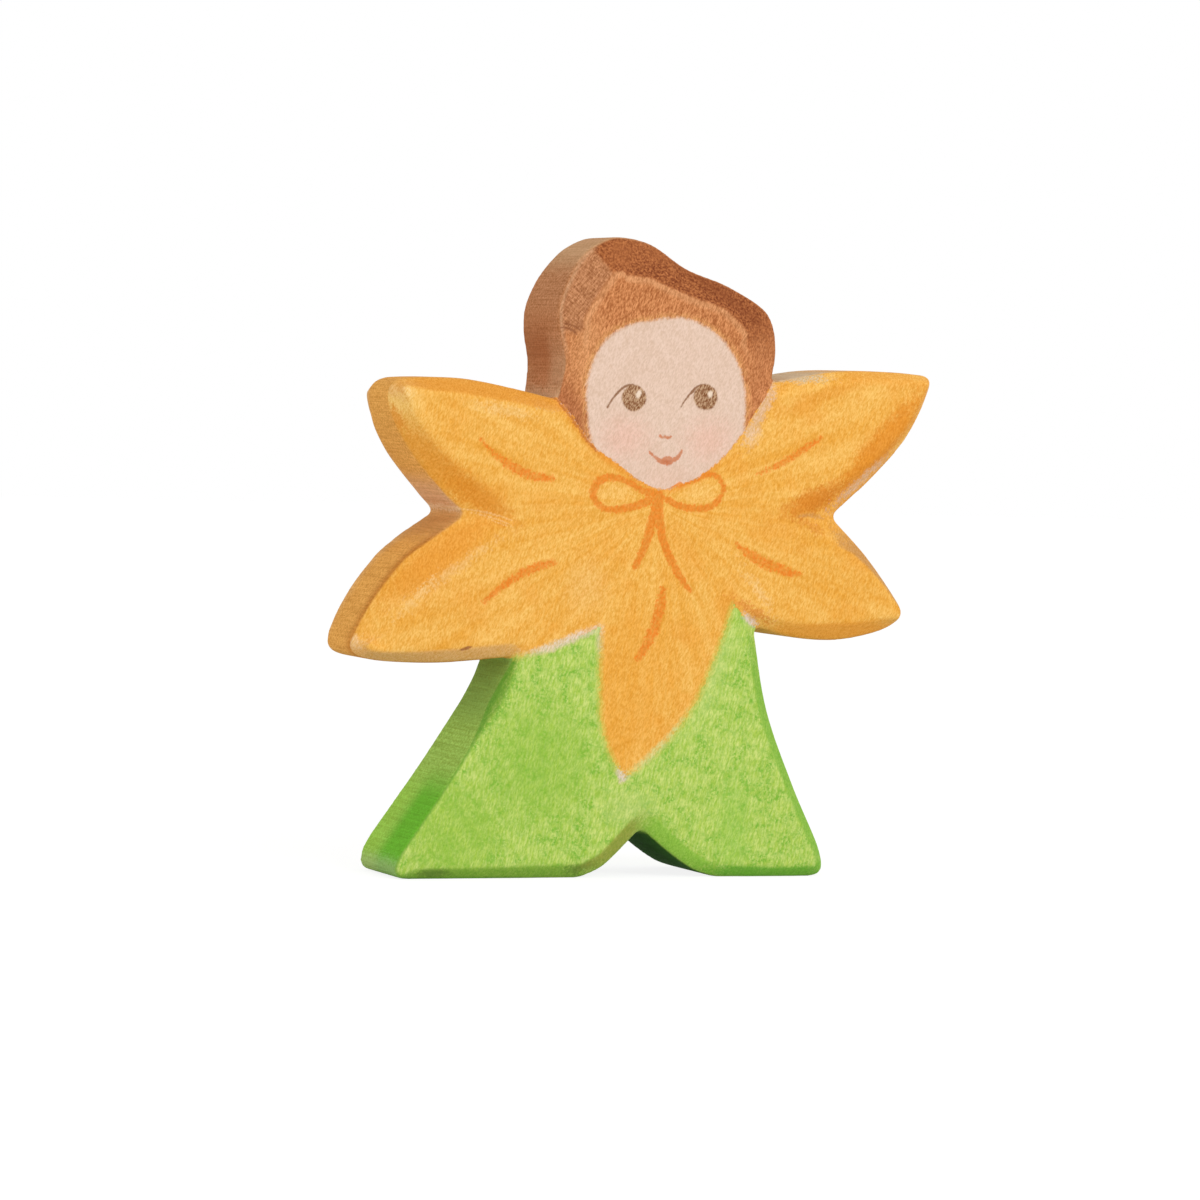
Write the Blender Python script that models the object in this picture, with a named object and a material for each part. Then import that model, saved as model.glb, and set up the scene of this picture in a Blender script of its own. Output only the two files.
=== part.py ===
"""Wooden flower child: a standing play figure sawn from one board, chamfered by hand and painted.

The board is parted along its painted borders into hair, face, petal cape and dress, each a solid of its
own that meets its neighbours along a glue line. Sizes are in metres and +Z is up. The figure faces -Y, so
x runs to the right of someone who looks at its face, and the outline is drawn in x and z.
"""

import math
from dataclasses import dataclass

import bmesh
import bpy
from mathutils import Vector

# Board
BOARD_THICKNESS = 0.017
GLUE_LINE = 0.0003  # gap between two pieces along a border
BACK_CHAMFER_WIDTH = 0.0018

# Hem: two feet with an arch between them, measured from the figure's axis
HEM_LEFT = 0.0374
HEM_RIGHT = 0.0287
ARCH_LEFT = 0.0086
ARCH_RIGHT = 0.0116
ARCH_HEIGHT = 0.0068
ARCH_SHIFT = 0.0003

# Waist: the corner between each lower petal and the side of the dress
WAIST_LEFT = 0.0194
WAIST_LEFT_HEIGHT = 0.0307
WAIST_RIGHT = 0.0165
WAIST_RIGHT_HEIGHT = 0.0353

# Petals at the sides: how far each tip reaches, how high it sits, and the notch between the two
LOWER_TIP_LEFT = 0.0439
LOWER_TIP_LEFT_HEIGHT = 0.0310
LOWER_TIP_RIGHT = 0.0402
LOWER_TIP_RIGHT_HEIGHT = 0.0369
UPPER_TIP_LEFT = 0.0390
UPPER_TIP_LEFT_HEIGHT = 0.0684
UPPER_TIP_RIGHT = 0.0434
UPPER_TIP_RIGHT_HEIGHT = 0.0712
NOTCH_LEFT = 0.0272
NOTCH_LEFT_HEIGHT = 0.0503
NOTCH_RIGHT = 0.0280
NOTCH_RIGHT_HEIGHT = 0.0510

# Petal that hangs down the front of the dress
FRONT_PETAL_TIP = -0.0033
FRONT_PETAL_TIP_HEIGHT = 0.0138
FRONT_PETAL_LEFT = -0.0073
FRONT_PETAL_LEFT_HEIGHT = 0.0350
FRONT_PETAL_RIGHT = 0.0128
FRONT_PETAL_RIGHT_HEIGHT = 0.0384

# Neck and head
NECK_LEFT = 0.0141
NECK_LEFT_HEIGHT = 0.0664
NECK_RIGHT = 0.0182
NECK_RIGHT_HEIGHT = 0.0697
CHIN = 0.0004
CHIN_HEIGHT = 0.0542
FACE_ACROSS = 0.0016  # middle of the face, sideways
FACE_HEIGHT = 0.0660  # middle of the face, above the hem
FACE_RADIUS = 0.0120
FACE_DEPTH = 0.0040  # how deep the face is let into the hair

# Hair seen from the middle of the face: bearing in degrees from the right, distance, then the chamfer's
# width and depth in front and its depth behind
HAIR_OUTLINE = (
    (26, 0.0193, 0.0054, 0.0020, 0.0020),
    (40, 0.0208, 0.0052, 0.0022, 0.0024),
    (60, 0.0195, 0.0034, 0.0020, 0.0028),
    (80, 0.0194, 0.0036, 0.0020, 0.0030),
    (95, 0.0224, 0.0050, 0.0022, 0.0040),
    (107, 0.02425, 0.0054, 0.0024, 0.0044),
    (115, 0.0243, 0.0042, 0.0022, 0.0043),
    (122, 0.0238, 0.0046, 0.0020, 0.0045),
    (130.5, 0.02235, 0.0043, 0.0018, 0.0028),
    (141, 0.0206, 0.0038, 0.0014, 0.0024),
    (149.5, 0.01815, 0.0030, 0.0013, 0.0012),
    (160, 0.0158, 0.0020, 0.0012, 0.0008),
)

# How far beyond the board the cutters reach
CUTTER_REACH = 0.040

# Fineness of the drawn curves
SAMPLE_SPACING = 0.0018
ROUNDING_STEPS = 5
FACE_STEPS = 48
SAME_POINT = 1e-6
CROSSING_WINDOW = 40

BOARD_FRONT = -BOARD_THICKNESS / 2
BOARD_BACK = BOARD_THICKNESS / 2


@dataclass(frozen=True)
class Corner:
    """A turning point of the outline: where it is, where its rounding starts, and its chamfers.

    chamfer holds the width and depth in front and the depth behind.
    """

    x: float
    z: float
    rounding: float
    chamfer: tuple

    @property
    def point(self) -> Vector:
        """The corner before it is rounded."""
        return Vector((self.x, self.z))


@dataclass(frozen=True)
class Edge:
    """The outline from one corner to the next.

    bellies holds (fraction of the straight line between the corners, outward bulge there), and chamfers
    holds (fraction of the edge's length, width, depth in front, depth behind). A corner's own chamfer
    stands at an end that has none.
    """

    bellies: tuple
    chamfers: tuple


@dataclass(frozen=True)
class Sample:
    """One point of the finished outline, with its chamfers and the corner that it rounds, or -1."""

    point: Vector
    chamfer: Vector
    corner: int = -1


FACE_MIDDLE = Vector((FACE_ACROSS, FACE_HEIGHT))

# Corners and edges run anticlockwise as seen from the front, from the left foot
CORNERS = (
    Corner(-HEM_LEFT, 0.0, 0.0032, (0.0006, 0.0005, 0.0024)),
    Corner(-ARCH_LEFT, 0.0, 0.0006, (0.0020, 0.0014, 0.0012)),
    Corner(ARCH_SHIFT, ARCH_HEIGHT, 0.0010, (0.0024, 0.0016, 0.0012)),
    Corner(ARCH_RIGHT, 0.0, 0.0006, (0.0018, 0.0014, 0.0012)),
    Corner(HEM_RIGHT, 0.0, 0.0024, (0.0016, 0.0014, 0.0014)),
    Corner(WAIST_RIGHT, WAIST_RIGHT_HEIGHT, 0.0012, (0.0018, 0.0014, 0.0014)),
    Corner(LOWER_TIP_RIGHT, LOWER_TIP_RIGHT_HEIGHT, 0.0026, (0.0018, 0.0024, 0.0045)),
    Corner(NOTCH_RIGHT, NOTCH_RIGHT_HEIGHT, 0.0012, (0.0040, 0.0016, 0.0014)),
    Corner(UPPER_TIP_RIGHT, UPPER_TIP_RIGHT_HEIGHT, 0.0018, (0.0016, 0.0024, 0.0045)),
    Corner(NECK_RIGHT, NECK_RIGHT_HEIGHT, 0.0006, (0.0034, 0.0016, 0.0014)),
    Corner(-NECK_LEFT, NECK_LEFT_HEIGHT, 0.0006, (0.0018, 0.0014, 0.0024)),
    Corner(-UPPER_TIP_LEFT, UPPER_TIP_LEFT_HEIGHT, 0.0030, (0.0020, 0.0032, 0.0070)),
    Corner(-NOTCH_LEFT, NOTCH_LEFT_HEIGHT, 0.0012, (0.0046, 0.0018, 0.0027)),
    Corner(-LOWER_TIP_LEFT, LOWER_TIP_LEFT_HEIGHT, 0.0026, (0.0016, 0.0026, 0.0054)),
    Corner(-WAIST_LEFT, WAIST_LEFT_HEIGHT, 0.0008, (0.0020, 0.0010, 0.0012)),
)
NECK_RIGHT_CORNER = 9
NECK_LEFT_CORNER = 10
WAIST_RIGHT_CORNER = 5
WAIST_LEFT_CORNER = 14

# The hair, from the right of the neck over the crown to its left, follows HAIR_OUTLINE instead
EDGES = (
    Edge((), ((0.15, 0.0014, 0.0011, 0.0012), (0.5, 0.0016, 0.0012, 0.0012))),
    Edge(((0.30, 0.0008), (0.60, 0.0006)), ((0.5, 0.0022, 0.0014, 0.0012),)),
    Edge(((0.43, 0.0007), (0.75, 0.0008)), ((0.5, 0.0020, 0.0014, 0.0012),)),
    Edge((), ((0.5, 0.0014, 0.0012, 0.0012),)),
    Edge(((0.12, 0.0003), (0.36, -0.0008), (0.68, -0.0015)), ((0.5, 0.0017, 0.0014, 0.0014),)),
    Edge(
        ((0.25, 0.0019), (0.55, 0.0027), (0.83, 0.0018)),
        ((0.25, 0.0021, 0.0016, 0.0022), (0.5, 0.0026, 0.0018, 0.0026), (0.8, 0.0021, 0.0018, 0.0036),
         (1.0, 0.0006, 0.0018, 0.0045)),
    ),
    Edge(
        ((0.26, 0.0005), (0.60, 0.0007)),
        ((0.0, 0.0006, 0.0018, 0.0045), (0.35, 0.0009, 0.0018, 0.0034), (0.7, 0.0018, 0.0018, 0.0024)),
    ),
    Edge(
        ((0.30, 0.0016), (0.59, 0.0023), (0.80, 0.0016)),
        ((0.15, 0.0032, 0.0018, 0.0022), (0.4, 0.0024, 0.0020, 0.0028), (0.7, 0.0017, 0.0020, 0.0036),
         (1.0, 0.0010, 0.0020, 0.0045)),
    ),
    Edge(
        ((0.25, 0.0008), (0.62, 0.0012)),
        ((0.0, 0.0010, 0.0020, 0.0045), (0.5, 0.0014, 0.0018, 0.0026), (1.0, 0.0018, 0.0014, 0.0014)),
    ),
    Edge((), ()),
    Edge(
        ((0.28, 0.0009), (0.55, 0.0014), (0.80, 0.0009)),
        ((0.5, 0.0022, 0.0022, 0.0030), (0.75, 0.0019, 0.0024, 0.0044), (1.0, 0.0006, 0.0026, 0.0064)),
    ),
    Edge(
        ((0.24, 0.0018), (0.50, 0.0020), (0.82, 0.0011)),
        ((0.0, 0.0020, 0.0030, 0.0069), (0.16, 0.0023, 0.0029, 0.0063), (0.32, 0.0027, 0.0027, 0.0048),
         (0.5, 0.0030, 0.0026, 0.0039), (0.8, 0.0040, 0.0021, 0.0040)),
    ),
    Edge(
        ((0.24, 0.0014), (0.43, 0.0023), (0.72, 0.0017)),
        ((0.11, 0.0044, 0.0018, 0.0021), (0.22, 0.0042, 0.0019, 0.0015), (0.33, 0.0040, 0.0020, 0.0021),
         (0.45, 0.0041, 0.0021, 0.0030), (0.6, 0.0044, 0.0023, 0.0029),
         (0.8, 0.0048, 0.0025, 0.0037), (1.0, 0.0050, 0.0026, 0.0052)),
    ),
    Edge(
        ((0.20, 0.0010), (0.55, 0.0011)),
        ((0.0, 0.0010, 0.0024, 0.0050), (0.5, 0.0018, 0.0016, 0.0024)),
    ),
    Edge(
        ((0.09, -0.00035), (0.20, -0.0007), (0.38, -0.0007), (0.55, -0.00055), (0.72, -0.00015),
         (0.90, 0.00025)),
        ((0.0, 0.0006, 0.0012, 0.0030), (0.10, 0.0007, 0.0024, 0.0038), (0.20, 0.0008, 0.0030, 0.0034),
         (0.30, 0.0005, 0.0016, 0.0029), (0.40, 0.0003, 0.0005, 0.0025), (0.55, 0.0003, 0.0004, 0.0019),
         (0.75, 0.0002, 0.0003, 0.0014), (0.85, 0.0002, 0.0003, 0.0013), (1.0, 0.0003, 0.0004, 0.0023)),
    ),
)

# Painted borders, as bellies along the straight line between their ends
NECKLINE_LEFT = ((0.30, -0.0014), (0.62, -0.0019), (0.85, -0.0011))
NECKLINE_RIGHT = ((0.15, -0.0013), (0.40, -0.0029), (0.70, -0.0018))
CAPE_HEM_LEFT = ((0.40, 0.0004),)
FRONT_PETAL_LEFT_SIDE = ((0.30, 0.0011), (0.62, 0.0019), (0.85, 0.0011))
FRONT_PETAL_RIGHT_SIDE = ((0.20, 0.0021), (0.48, 0.0031), (0.75, 0.0018))
CAPE_HEM_RIGHT = ((0.45, 0.0002),)

# Colour as red, green and blue, then roughness
HAIR_PAINT = ((0.445, 0.180, 0.075), 0.62)
FACE_PAINT = ((0.830, 0.610, 0.480), 0.60)
CAPE_PAINT = ((0.890, 0.430, 0.065), 0.60)
DRESS_PAINT = ((0.360, 0.600, 0.095), 0.60)


def outward(direction: Vector) -> Vector:
    """Unit normal on the right of a direction, which is outside on an anticlockwise outline."""
    return Vector((direction.y, -direction.x)).normalized()


def through_points(start: Vector, end: Vector, bellies: tuple) -> list:
    """The points that an edge passes through, its ends included."""
    chord = end - start
    normal = outward(chord)
    return [start] + [start + chord * share + normal * bulge for share, bulge in bellies] + [end]


def smooth_curve(points: list) -> list:
    """Points about SAMPLE_SPACING apart on a Catmull-Rom curve through the given ones."""
    first = points[0] * 2 - points[1]
    last = points[-1] * 2 - points[-2]
    padded = [first] + list(points) + [last]
    curve = []
    for before, start, end, after in zip(padded, padded[1:], padded[2:], padded[3:]):
        steps = max(1, round((end - start).length / SAMPLE_SPACING))
        leave = (end - before) / 2 * min(1.0, 2 * (end - start).length / (end - before).length)
        arrive = (after - start) / 2 * min(1.0, 2 * (end - start).length / (after - start).length)
        for step in range(steps):
            t = step / steps
            curve.append(
                start * (2 * t**3 - 3 * t**2 + 1)
                + leave * (t**3 - 2 * t**2 + t)
                + end * (3 * t**2 - 2 * t**3)
                + arrive * (t**3 - t**2)
            )
    return curve + [points[-1]]


def lengths_along(curve: list) -> list:
    """Distance from the curve's first point to each of its points."""
    total = [0.0]
    for start, end in zip(curve, curve[1:]):
        total.append(total[-1] + (end - start).length)
    return total


def point_at(curve: list, distance: float) -> Vector:
    """The point that lies a distance along a curve."""
    along = lengths_along(curve)
    for start, end, near, far in zip(curve, curve[1:], along, along[1:]):
        if far >= distance:
            return start.lerp(end, (distance - near) / (far - near))
    return curve[-1]


def edge_samples(curve: list, chamfers: list, begin: float, finish: float) -> list:
    """The samples of an edge between two distances along it.

    chamfers holds (share of the edge's length, chamfer there), in order.
    """
    along = lengths_along(curve)
    total = along[-1]

    def chamfer_at(distance: float) -> Vector:
        share = distance / total
        for (near, low), (far, high) in zip(chamfers, chamfers[1:]):
            if far >= share:
                return Vector(low).lerp(Vector(high), (share - near) / (far - near))
        return Vector(chamfers[-1][1])

    inner = [
        Sample(point, chamfer_at(distance))
        for point, distance in zip(curve, along)
        if begin + SAME_POINT < distance < total - finish - SAME_POINT
    ]
    return (
        [Sample(point_at(curve, begin), chamfer_at(begin))]
        + inner
        + [Sample(point_at(curve, total - finish), chamfer_at(total - finish))]
    )


def hair_curve() -> tuple:
    """The hair's edge from the right of the neck to its left, and its chamfers by share of length."""
    points = [CORNERS[NECK_RIGHT_CORNER].point]
    chamfers = [CORNERS[NECK_RIGHT_CORNER].chamfer]
    for bearing, distance, *chamfer in HAIR_OUTLINE:
        angle = math.radians(bearing)
        points.append(FACE_MIDDLE + Vector((math.cos(angle), math.sin(angle))) * distance)
        chamfers.append(tuple(chamfer))
    points.append(CORNERS[NECK_LEFT_CORNER].point)
    chamfers.append(CORNERS[NECK_LEFT_CORNER].chamfer)
    along = lengths_along(points)
    return smooth_curve(points), [(length / along[-1], chamfer) for length, chamfer in zip(along, chamfers)]


def chamfer_stops(corner: Corner, edge: Edge, following: Corner) -> list:
    """The chamfers along an edge by share of its length, from one corner to the following one."""
    stops = [(share, chamfer) for share, *chamfer in edge.chamfers]
    if stops[0][0] > 0:
        stops.insert(0, (0.0, corner.chamfer))
    if stops[-1][0] < 1:
        stops.append((1.0, following.chamfer))
    return stops


def outline() -> list:
    """The whole outline as samples, with every corner rounded."""
    samples = []
    curves = []
    for index, (corner, edge) in enumerate(zip(CORNERS, EDGES)):
        following = CORNERS[(index + 1) % len(CORNERS)]
        if index == NECK_RIGHT_CORNER:
            curves.append(hair_curve())
            continue
        curve = smooth_curve(through_points(corner.point, following.point, edge.bellies))
        curves.append((curve, chamfer_stops(corner, edge, following)))
    for index, (curve, chamfers) in enumerate(curves):
        corner = CORNERS[index]
        following_index = (index + 1) % len(CORNERS)
        following = CORNERS[following_index]
        samples += edge_samples(curve, chamfers, corner.rounding, following.rounding)
        start = samples[-1].point
        next_curve, next_chamfers = curves[following_index]
        end = point_at(next_curve, following.rounding)
        for step in range(1, ROUNDING_STEPS):
            t = step / ROUNDING_STEPS
            point = start * (1 - t) ** 2 + following.point * 2 * t * (1 - t) + end * t**2
            chamfer = Vector(chamfers[-1][1]).lerp(Vector(next_chamfers[0][1]), t)
            samples.append(Sample(point, chamfer, following_index))
    return samples


def valley(corner_index: int, samples: list, widths: list) -> Vector:
    """Where the chamfers on both sides of an inner corner meet on the board's face."""
    rounding = [index for index, sample in enumerate(samples) if sample.corner == corner_index]
    last, first = rounding[0] - 1, (rounding[-1] + 1) % len(samples)
    corner = CORNERS[corner_index].point
    arriving = outward(corner - samples[last].point)
    leaving = outward(samples[first].point - corner)
    lean = arriving.dot(leaving)
    from_arriving = (widths[last] - lean * widths[first]) / (1 - lean**2)
    from_leaving = (widths[first] - lean * widths[last]) / (1 - lean**2)
    return corner - arriving * from_arriving - leaving * from_leaving


def is_inner_corner(corner_index: int, samples: list) -> bool:
    """Whether the outline turns clockwise at a corner, so that the board is notched there."""
    rounding = [index for index, sample in enumerate(samples) if sample.corner == corner_index]
    before = samples[rounding[0] - 1].point
    after = samples[(rounding[-1] + 1) % len(samples)].point
    corner = CORNERS[corner_index].point
    arriving = corner - before
    leaving = after - corner
    return arriving.x * leaving.y - arriving.y * leaving.x < 0


def crossing(a: Vector, b: Vector, c: Vector, d: Vector):
    """The point where segment ab crosses segment cd, or None."""
    first = b - a
    second = d - c
    turn = first.x * second.y - first.y * second.x
    if abs(turn) < 1e-18:
        return None
    offset = c - a
    along_first = (offset.x * second.y - offset.y * second.x) / turn
    along_second = (offset.x * first.y - offset.y * first.x) / turn
    if 0 <= along_first <= 1 and 0 <= along_second <= 1:
        return a + first * along_first
    return None


def inset(samples: list, widths: list) -> list:
    """The outline moved inwards by a width at each sample.

    It has a point for each sample: those of an inner corner meet in its valley, and those of a tip that is
    narrower than its chamfer meet in one point, so that the chamfers end in a ridge.
    """
    count = len(samples)
    valleys = {
        index: valley(index, samples, widths)
        for index in range(len(CORNERS))
        if is_inner_corner(index, samples)
    }
    moved = []
    for index, sample in enumerate(samples):
        if sample.corner in valleys:
            moved.append(valleys[sample.corner])
            continue
        direction = samples[(index + 1) % count].point - samples[index - 1].point
        moved.append(sample.point - outward(direction) * widths[index])
    index = 0
    while index < count:
        for reach in range(CROSSING_WINDOW, 1, -1):
            a, b = moved[index], moved[(index + 1) % count]
            c, d = moved[(index + reach) % count], moved[(index + reach + 1) % count]
            if (b - a).length < SAME_POINT or (d - c).length < SAME_POINT:
                continue
            meeting = crossing(a, b, c, d)
            if meeting is not None:
                for between in range(index + 1, index + reach + 1):
                    moved[between % count] = meeting
                break
        index += 1
    return moved


def add_ring(bm: bmesh.types.BMesh, points: list, depths: list) -> list:
    """A vertex for each point at its depth y, shared by neighbours that coincide."""
    ring = []
    for index, point in enumerate(points):
        if ring and (point - points[index - 1]).length < SAME_POINT:
            ring.append(ring[-1])
        elif index == len(points) - 1 and (point - points[0]).length < SAME_POINT:
            ring.append(ring[0])
        else:
            ring.append(bm.verts.new((point.x, depths[index], point.y)))
    return ring


def add_band(bm: bmesh.types.BMesh, near: list, far: list) -> None:
    """Faces between two rings: triangles where points of a ring coincide, and quads elsewhere."""
    count = len(near)
    for index in range(count):
        following = (index + 1) % count
        corners = []
        for vertex in (near[index], near[following], far[following], far[index]):
            if vertex not in corners:
                corners.append(vertex)
        if len(corners) > 2:
            bm.faces.new(corners)


def add_cap(bm: bmesh.types.BMesh, ring: list) -> None:
    """One flat face over a ring."""
    corners = []
    for vertex in ring:
        if vertex not in corners:
            corners.append(vertex)
    bm.faces.new(corners)


def mesh_from_rings(name: str, rings: list) -> bpy.types.Mesh:
    """A closed mesh through rings of points, each given with its depths y, from the front to the back."""
    bm = bmesh.new()
    made = [add_ring(bm, points, depths) for points, depths in rings]
    for near, far in zip(made, made[1:]):
        add_band(bm, near, far)
    add_cap(bm, made[0])
    add_cap(bm, made[-1])
    bmesh.ops.recalc_face_normals(bm, faces=bm.faces)
    mesh = bpy.data.meshes.new(name)
    bm.to_mesh(mesh)
    bm.free()
    return mesh


def board_mesh(samples: list) -> bpy.types.Mesh:
    """The whole sawn and chamfered board."""
    edge = [sample.point for sample in samples]
    front = inset(samples, [sample.chamfer[0] for sample in samples])
    back = inset(samples, [BACK_CHAMFER_WIDTH] * len(samples))
    return mesh_from_rings(
        "board",
        [
            (front, [BOARD_FRONT] * len(samples)),
            (edge, [BOARD_FRONT + sample.chamfer[1] for sample in samples]),
            (edge, [BOARD_BACK - sample.chamfer[2] for sample in samples]),
            (back, [BOARD_BACK] * len(samples)),
        ],
    )


def shifted(path: list, distance: float) -> list:
    """An open path moved to the right of its direction, with its corners kept sharp."""
    moved = []
    for index, point in enumerate(path):
        arriving = outward(point - path[max(index - 1, 0)] if index else path[1] - point)
        leaving = outward(path[index + 1] - point) if index < len(path) - 1 else arriving
        bisector = (arriving + leaving).normalized()
        moved.append(point + bisector * (distance / bisector.dot(arriving)))
    return moved


def outside_corner(corner_index: int, bearing: float) -> Vector:
    """A point well outside the board, in the notch of a corner, along a bearing in degrees."""
    angle = math.radians(bearing)
    return CORNERS[corner_index].point + Vector((math.cos(angle), math.sin(angle))) * CUTTER_REACH


def neckline() -> list:
    """The border of head and cape from the left of the neck by the chin to its right, in the open beyond."""
    left = CORNERS[NECK_LEFT_CORNER].point
    right = CORNERS[NECK_RIGHT_CORNER].point
    chin = Vector((CHIN, CHIN_HEIGHT))
    left_sag = [(share, -bulge) for share, bulge in NECKLINE_LEFT]
    right_sag = [(share, -bulge) for share, bulge in NECKLINE_RIGHT]
    path = smooth_curve(through_points(left, chin, left_sag))
    path += smooth_curve(through_points(chin, right, right_sag))[1:]
    return [outside_corner(NECK_LEFT_CORNER, 135)] + path + [outside_corner(NECK_RIGHT_CORNER, 50)]


def cape_hem() -> list:
    """The border of cape and dress from the left of the waist round the front petal to its right."""
    stops = [
        CORNERS[WAIST_LEFT_CORNER].point,
        Vector((FRONT_PETAL_LEFT, FRONT_PETAL_LEFT_HEIGHT)),
        Vector((FRONT_PETAL_TIP, FRONT_PETAL_TIP_HEIGHT)),
        Vector((FRONT_PETAL_RIGHT, FRONT_PETAL_RIGHT_HEIGHT)),
        CORNERS[WAIST_RIGHT_CORNER].point,
    ]
    sides = (CAPE_HEM_LEFT, FRONT_PETAL_LEFT_SIDE, FRONT_PETAL_RIGHT_SIDE, CAPE_HEM_RIGHT)
    path = [outside_corner(WAIST_LEFT_CORNER, 208)]
    for start, end, bellies in zip(stops, stops[1:], sides):
        path += smooth_curve(through_points(start, end, bellies))[:-1]
    return path + [stops[-1], outside_corner(WAIST_RIGHT_CORNER, -42)]


def add_cutter(name: str, polygon: list, front: float, back: float) -> bpy.types.Object:
    """A prism with the given outline, used only to cut."""
    ends = [(polygon, [depth] * len(polygon)) for depth in (front, back)]
    cutter = bpy.data.objects.new(name, mesh_from_rings(name, ends))
    bpy.context.scene.collection.objects.link(cutter)
    cutter.hide_render = True
    cutter.display_type = "WIRE"
    return cutter


def face_disc(radius: float) -> list:
    """The round outline of the face, or of the pocket that it sits in."""
    turns = [2 * math.pi * step / FACE_STEPS for step in range(FACE_STEPS)]
    return [FACE_MIDDLE + Vector((math.cos(turn), math.sin(turn))) * radius for turn in turns]


def add_material(name: str, colour: tuple, roughness: float) -> bpy.types.Material:
    """A painted wood material in one colour."""
    material = bpy.data.materials.new(name)
    material.use_nodes = True
    shader = material.node_tree.nodes["Principled BSDF"]
    shader.inputs["Base Color"].default_value = (*colour, 1.0)
    shader.inputs["Roughness"].default_value = roughness
    shader.inputs["Metallic"].default_value = 0.0
    material.diffuse_color = (*colour, 1.0)
    return material


def add_piece(name: str, board: bpy.types.Mesh, paint: tuple, cuts: list, figure: bpy.types.Object) -> None:
    """One piece of the figure: the board with what belongs to the other pieces cut away.

    cuts holds (operation, cutter), in order.
    """
    mesh = board.copy()
    mesh.name = name
    mesh.materials.append(add_material(f"{name}_paint", *paint))
    piece = bpy.data.objects.new(name, mesh)
    bpy.context.scene.collection.objects.link(piece)
    piece.parent = figure
    for operation, cutter in cuts:
        cut = piece.modifiers.new(f"{operation.lower()}_{cutter.name}", "BOOLEAN")
        cut.operation = operation
        cut.object = cutter
        cut.solver = "EXACT"


def main() -> None:
    """Builds the figure with its origin under the middle of its outline."""
    for leftover in list(bpy.data.objects):
        bpy.data.objects.remove(leftover)
    samples = outline()
    across = [sample.point.x for sample in samples]
    figure = bpy.data.objects.new("figure", None)
    bpy.context.scene.collection.objects.link(figure)
    figure.location.x = -(min(across) + max(across)) / 2

    board = board_mesh(samples)
    half_seam = GLUE_LINE / 2
    head_border = neckline()
    hem_border = cape_hem()
    highest = max(sample.point.y for sample in samples) + CUTTER_REACH
    widest = max(abs(x) for x in across) + CUTTER_REACH
    over_head = [Vector((widest, highest)), Vector((-widest, highest))]
    under_dress = [Vector((widest, -CUTTER_REACH)), Vector((-widest, -CUTTER_REACH))]
    head = shifted(head_border, -half_seam) + over_head
    dress = shifted(hem_border, half_seam) + under_dress
    cape = shifted(head_border, half_seam) + shifted(hem_border, -half_seam)[::-1]

    through = (BOARD_FRONT - CUTTER_REACH, BOARD_BACK + CUTTER_REACH)
    head_cutter = add_cutter("head_cutter", head, *through)
    cape_cutter = add_cutter("cape_cutter", cape, *through)
    dress_cutter = add_cutter("dress_cutter", dress, *through)
    face_floor = BOARD_FRONT + FACE_DEPTH
    face_cutter = add_cutter("face_cutter", face_disc(FACE_RADIUS), through[0], face_floor)
    pocket = face_disc(FACE_RADIUS + GLUE_LINE)
    pocket_cutter = add_cutter("pocket_cutter", pocket, through[0], face_floor + GLUE_LINE)
    for cutter in (head_cutter, cape_cutter, dress_cutter, face_cutter, pocket_cutter):
        cutter.parent = figure

    add_piece("hair", board, HAIR_PAINT, [("INTERSECT", head_cutter), ("DIFFERENCE", pocket_cutter)], figure)
    add_piece("face", board, FACE_PAINT, [("INTERSECT", head_cutter), ("INTERSECT", face_cutter)], figure)
    add_piece("petal_cape", board, CAPE_PAINT, [("INTERSECT", cape_cutter)], figure)
    add_piece("dress", board, DRESS_PAINT, [("INTERSECT", dress_cutter)], figure)
    bpy.data.meshes.remove(board)


main()
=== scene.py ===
"""Dresses the wooden flower child as sanded, hand-painted wood and stands it in a pale studio.

The board is shaped once, smoothed as sanding would, and parted along its painted borders into hair, face,
petal cape and dress. Every piece is painted by the same set of fields, so colours run on across a border.
Lengths are in millimetres until a mesh is placed, and the figure's frame is that of the CAD model.
"""

import logging
import math
from dataclasses import dataclass, field
from enum import Enum
from functools import cached_property, reduce
from typing import Optional, Union

import bmesh
import bpy
import numpy as np
from mathutils import Matrix, Vector


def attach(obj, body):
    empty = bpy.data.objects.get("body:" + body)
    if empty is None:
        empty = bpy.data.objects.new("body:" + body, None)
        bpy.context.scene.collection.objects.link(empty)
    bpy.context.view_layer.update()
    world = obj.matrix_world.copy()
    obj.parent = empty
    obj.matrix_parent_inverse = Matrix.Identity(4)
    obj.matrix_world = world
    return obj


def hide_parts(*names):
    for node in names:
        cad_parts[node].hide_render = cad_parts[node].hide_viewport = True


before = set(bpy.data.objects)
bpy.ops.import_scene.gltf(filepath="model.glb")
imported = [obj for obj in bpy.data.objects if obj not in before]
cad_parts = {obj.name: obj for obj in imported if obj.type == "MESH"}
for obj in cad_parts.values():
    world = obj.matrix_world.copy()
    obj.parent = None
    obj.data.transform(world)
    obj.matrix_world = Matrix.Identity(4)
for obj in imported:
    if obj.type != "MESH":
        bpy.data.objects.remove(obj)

LOG = logging.getLogger("flower_child")

MM = 0.001
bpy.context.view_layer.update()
BOARD_FRONT = -8.5
BOARD_BACK = 8.5
SAME_POINT = 1e-4
PARALLEL = 1e-12
LEAST_BULGE = 0.01
DULL_SHEEN = 0.1
DRY_WOOD = 0.92
STREAKS_THROUGH = 0.05
BORDER_FADE = 0.12
FACE_FADE = 0.35


class Side(Enum):
    """Where a zone lies from its border."""

    OVER = "over"
    UNDER = "under"
    WITHIN = "within"


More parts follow.
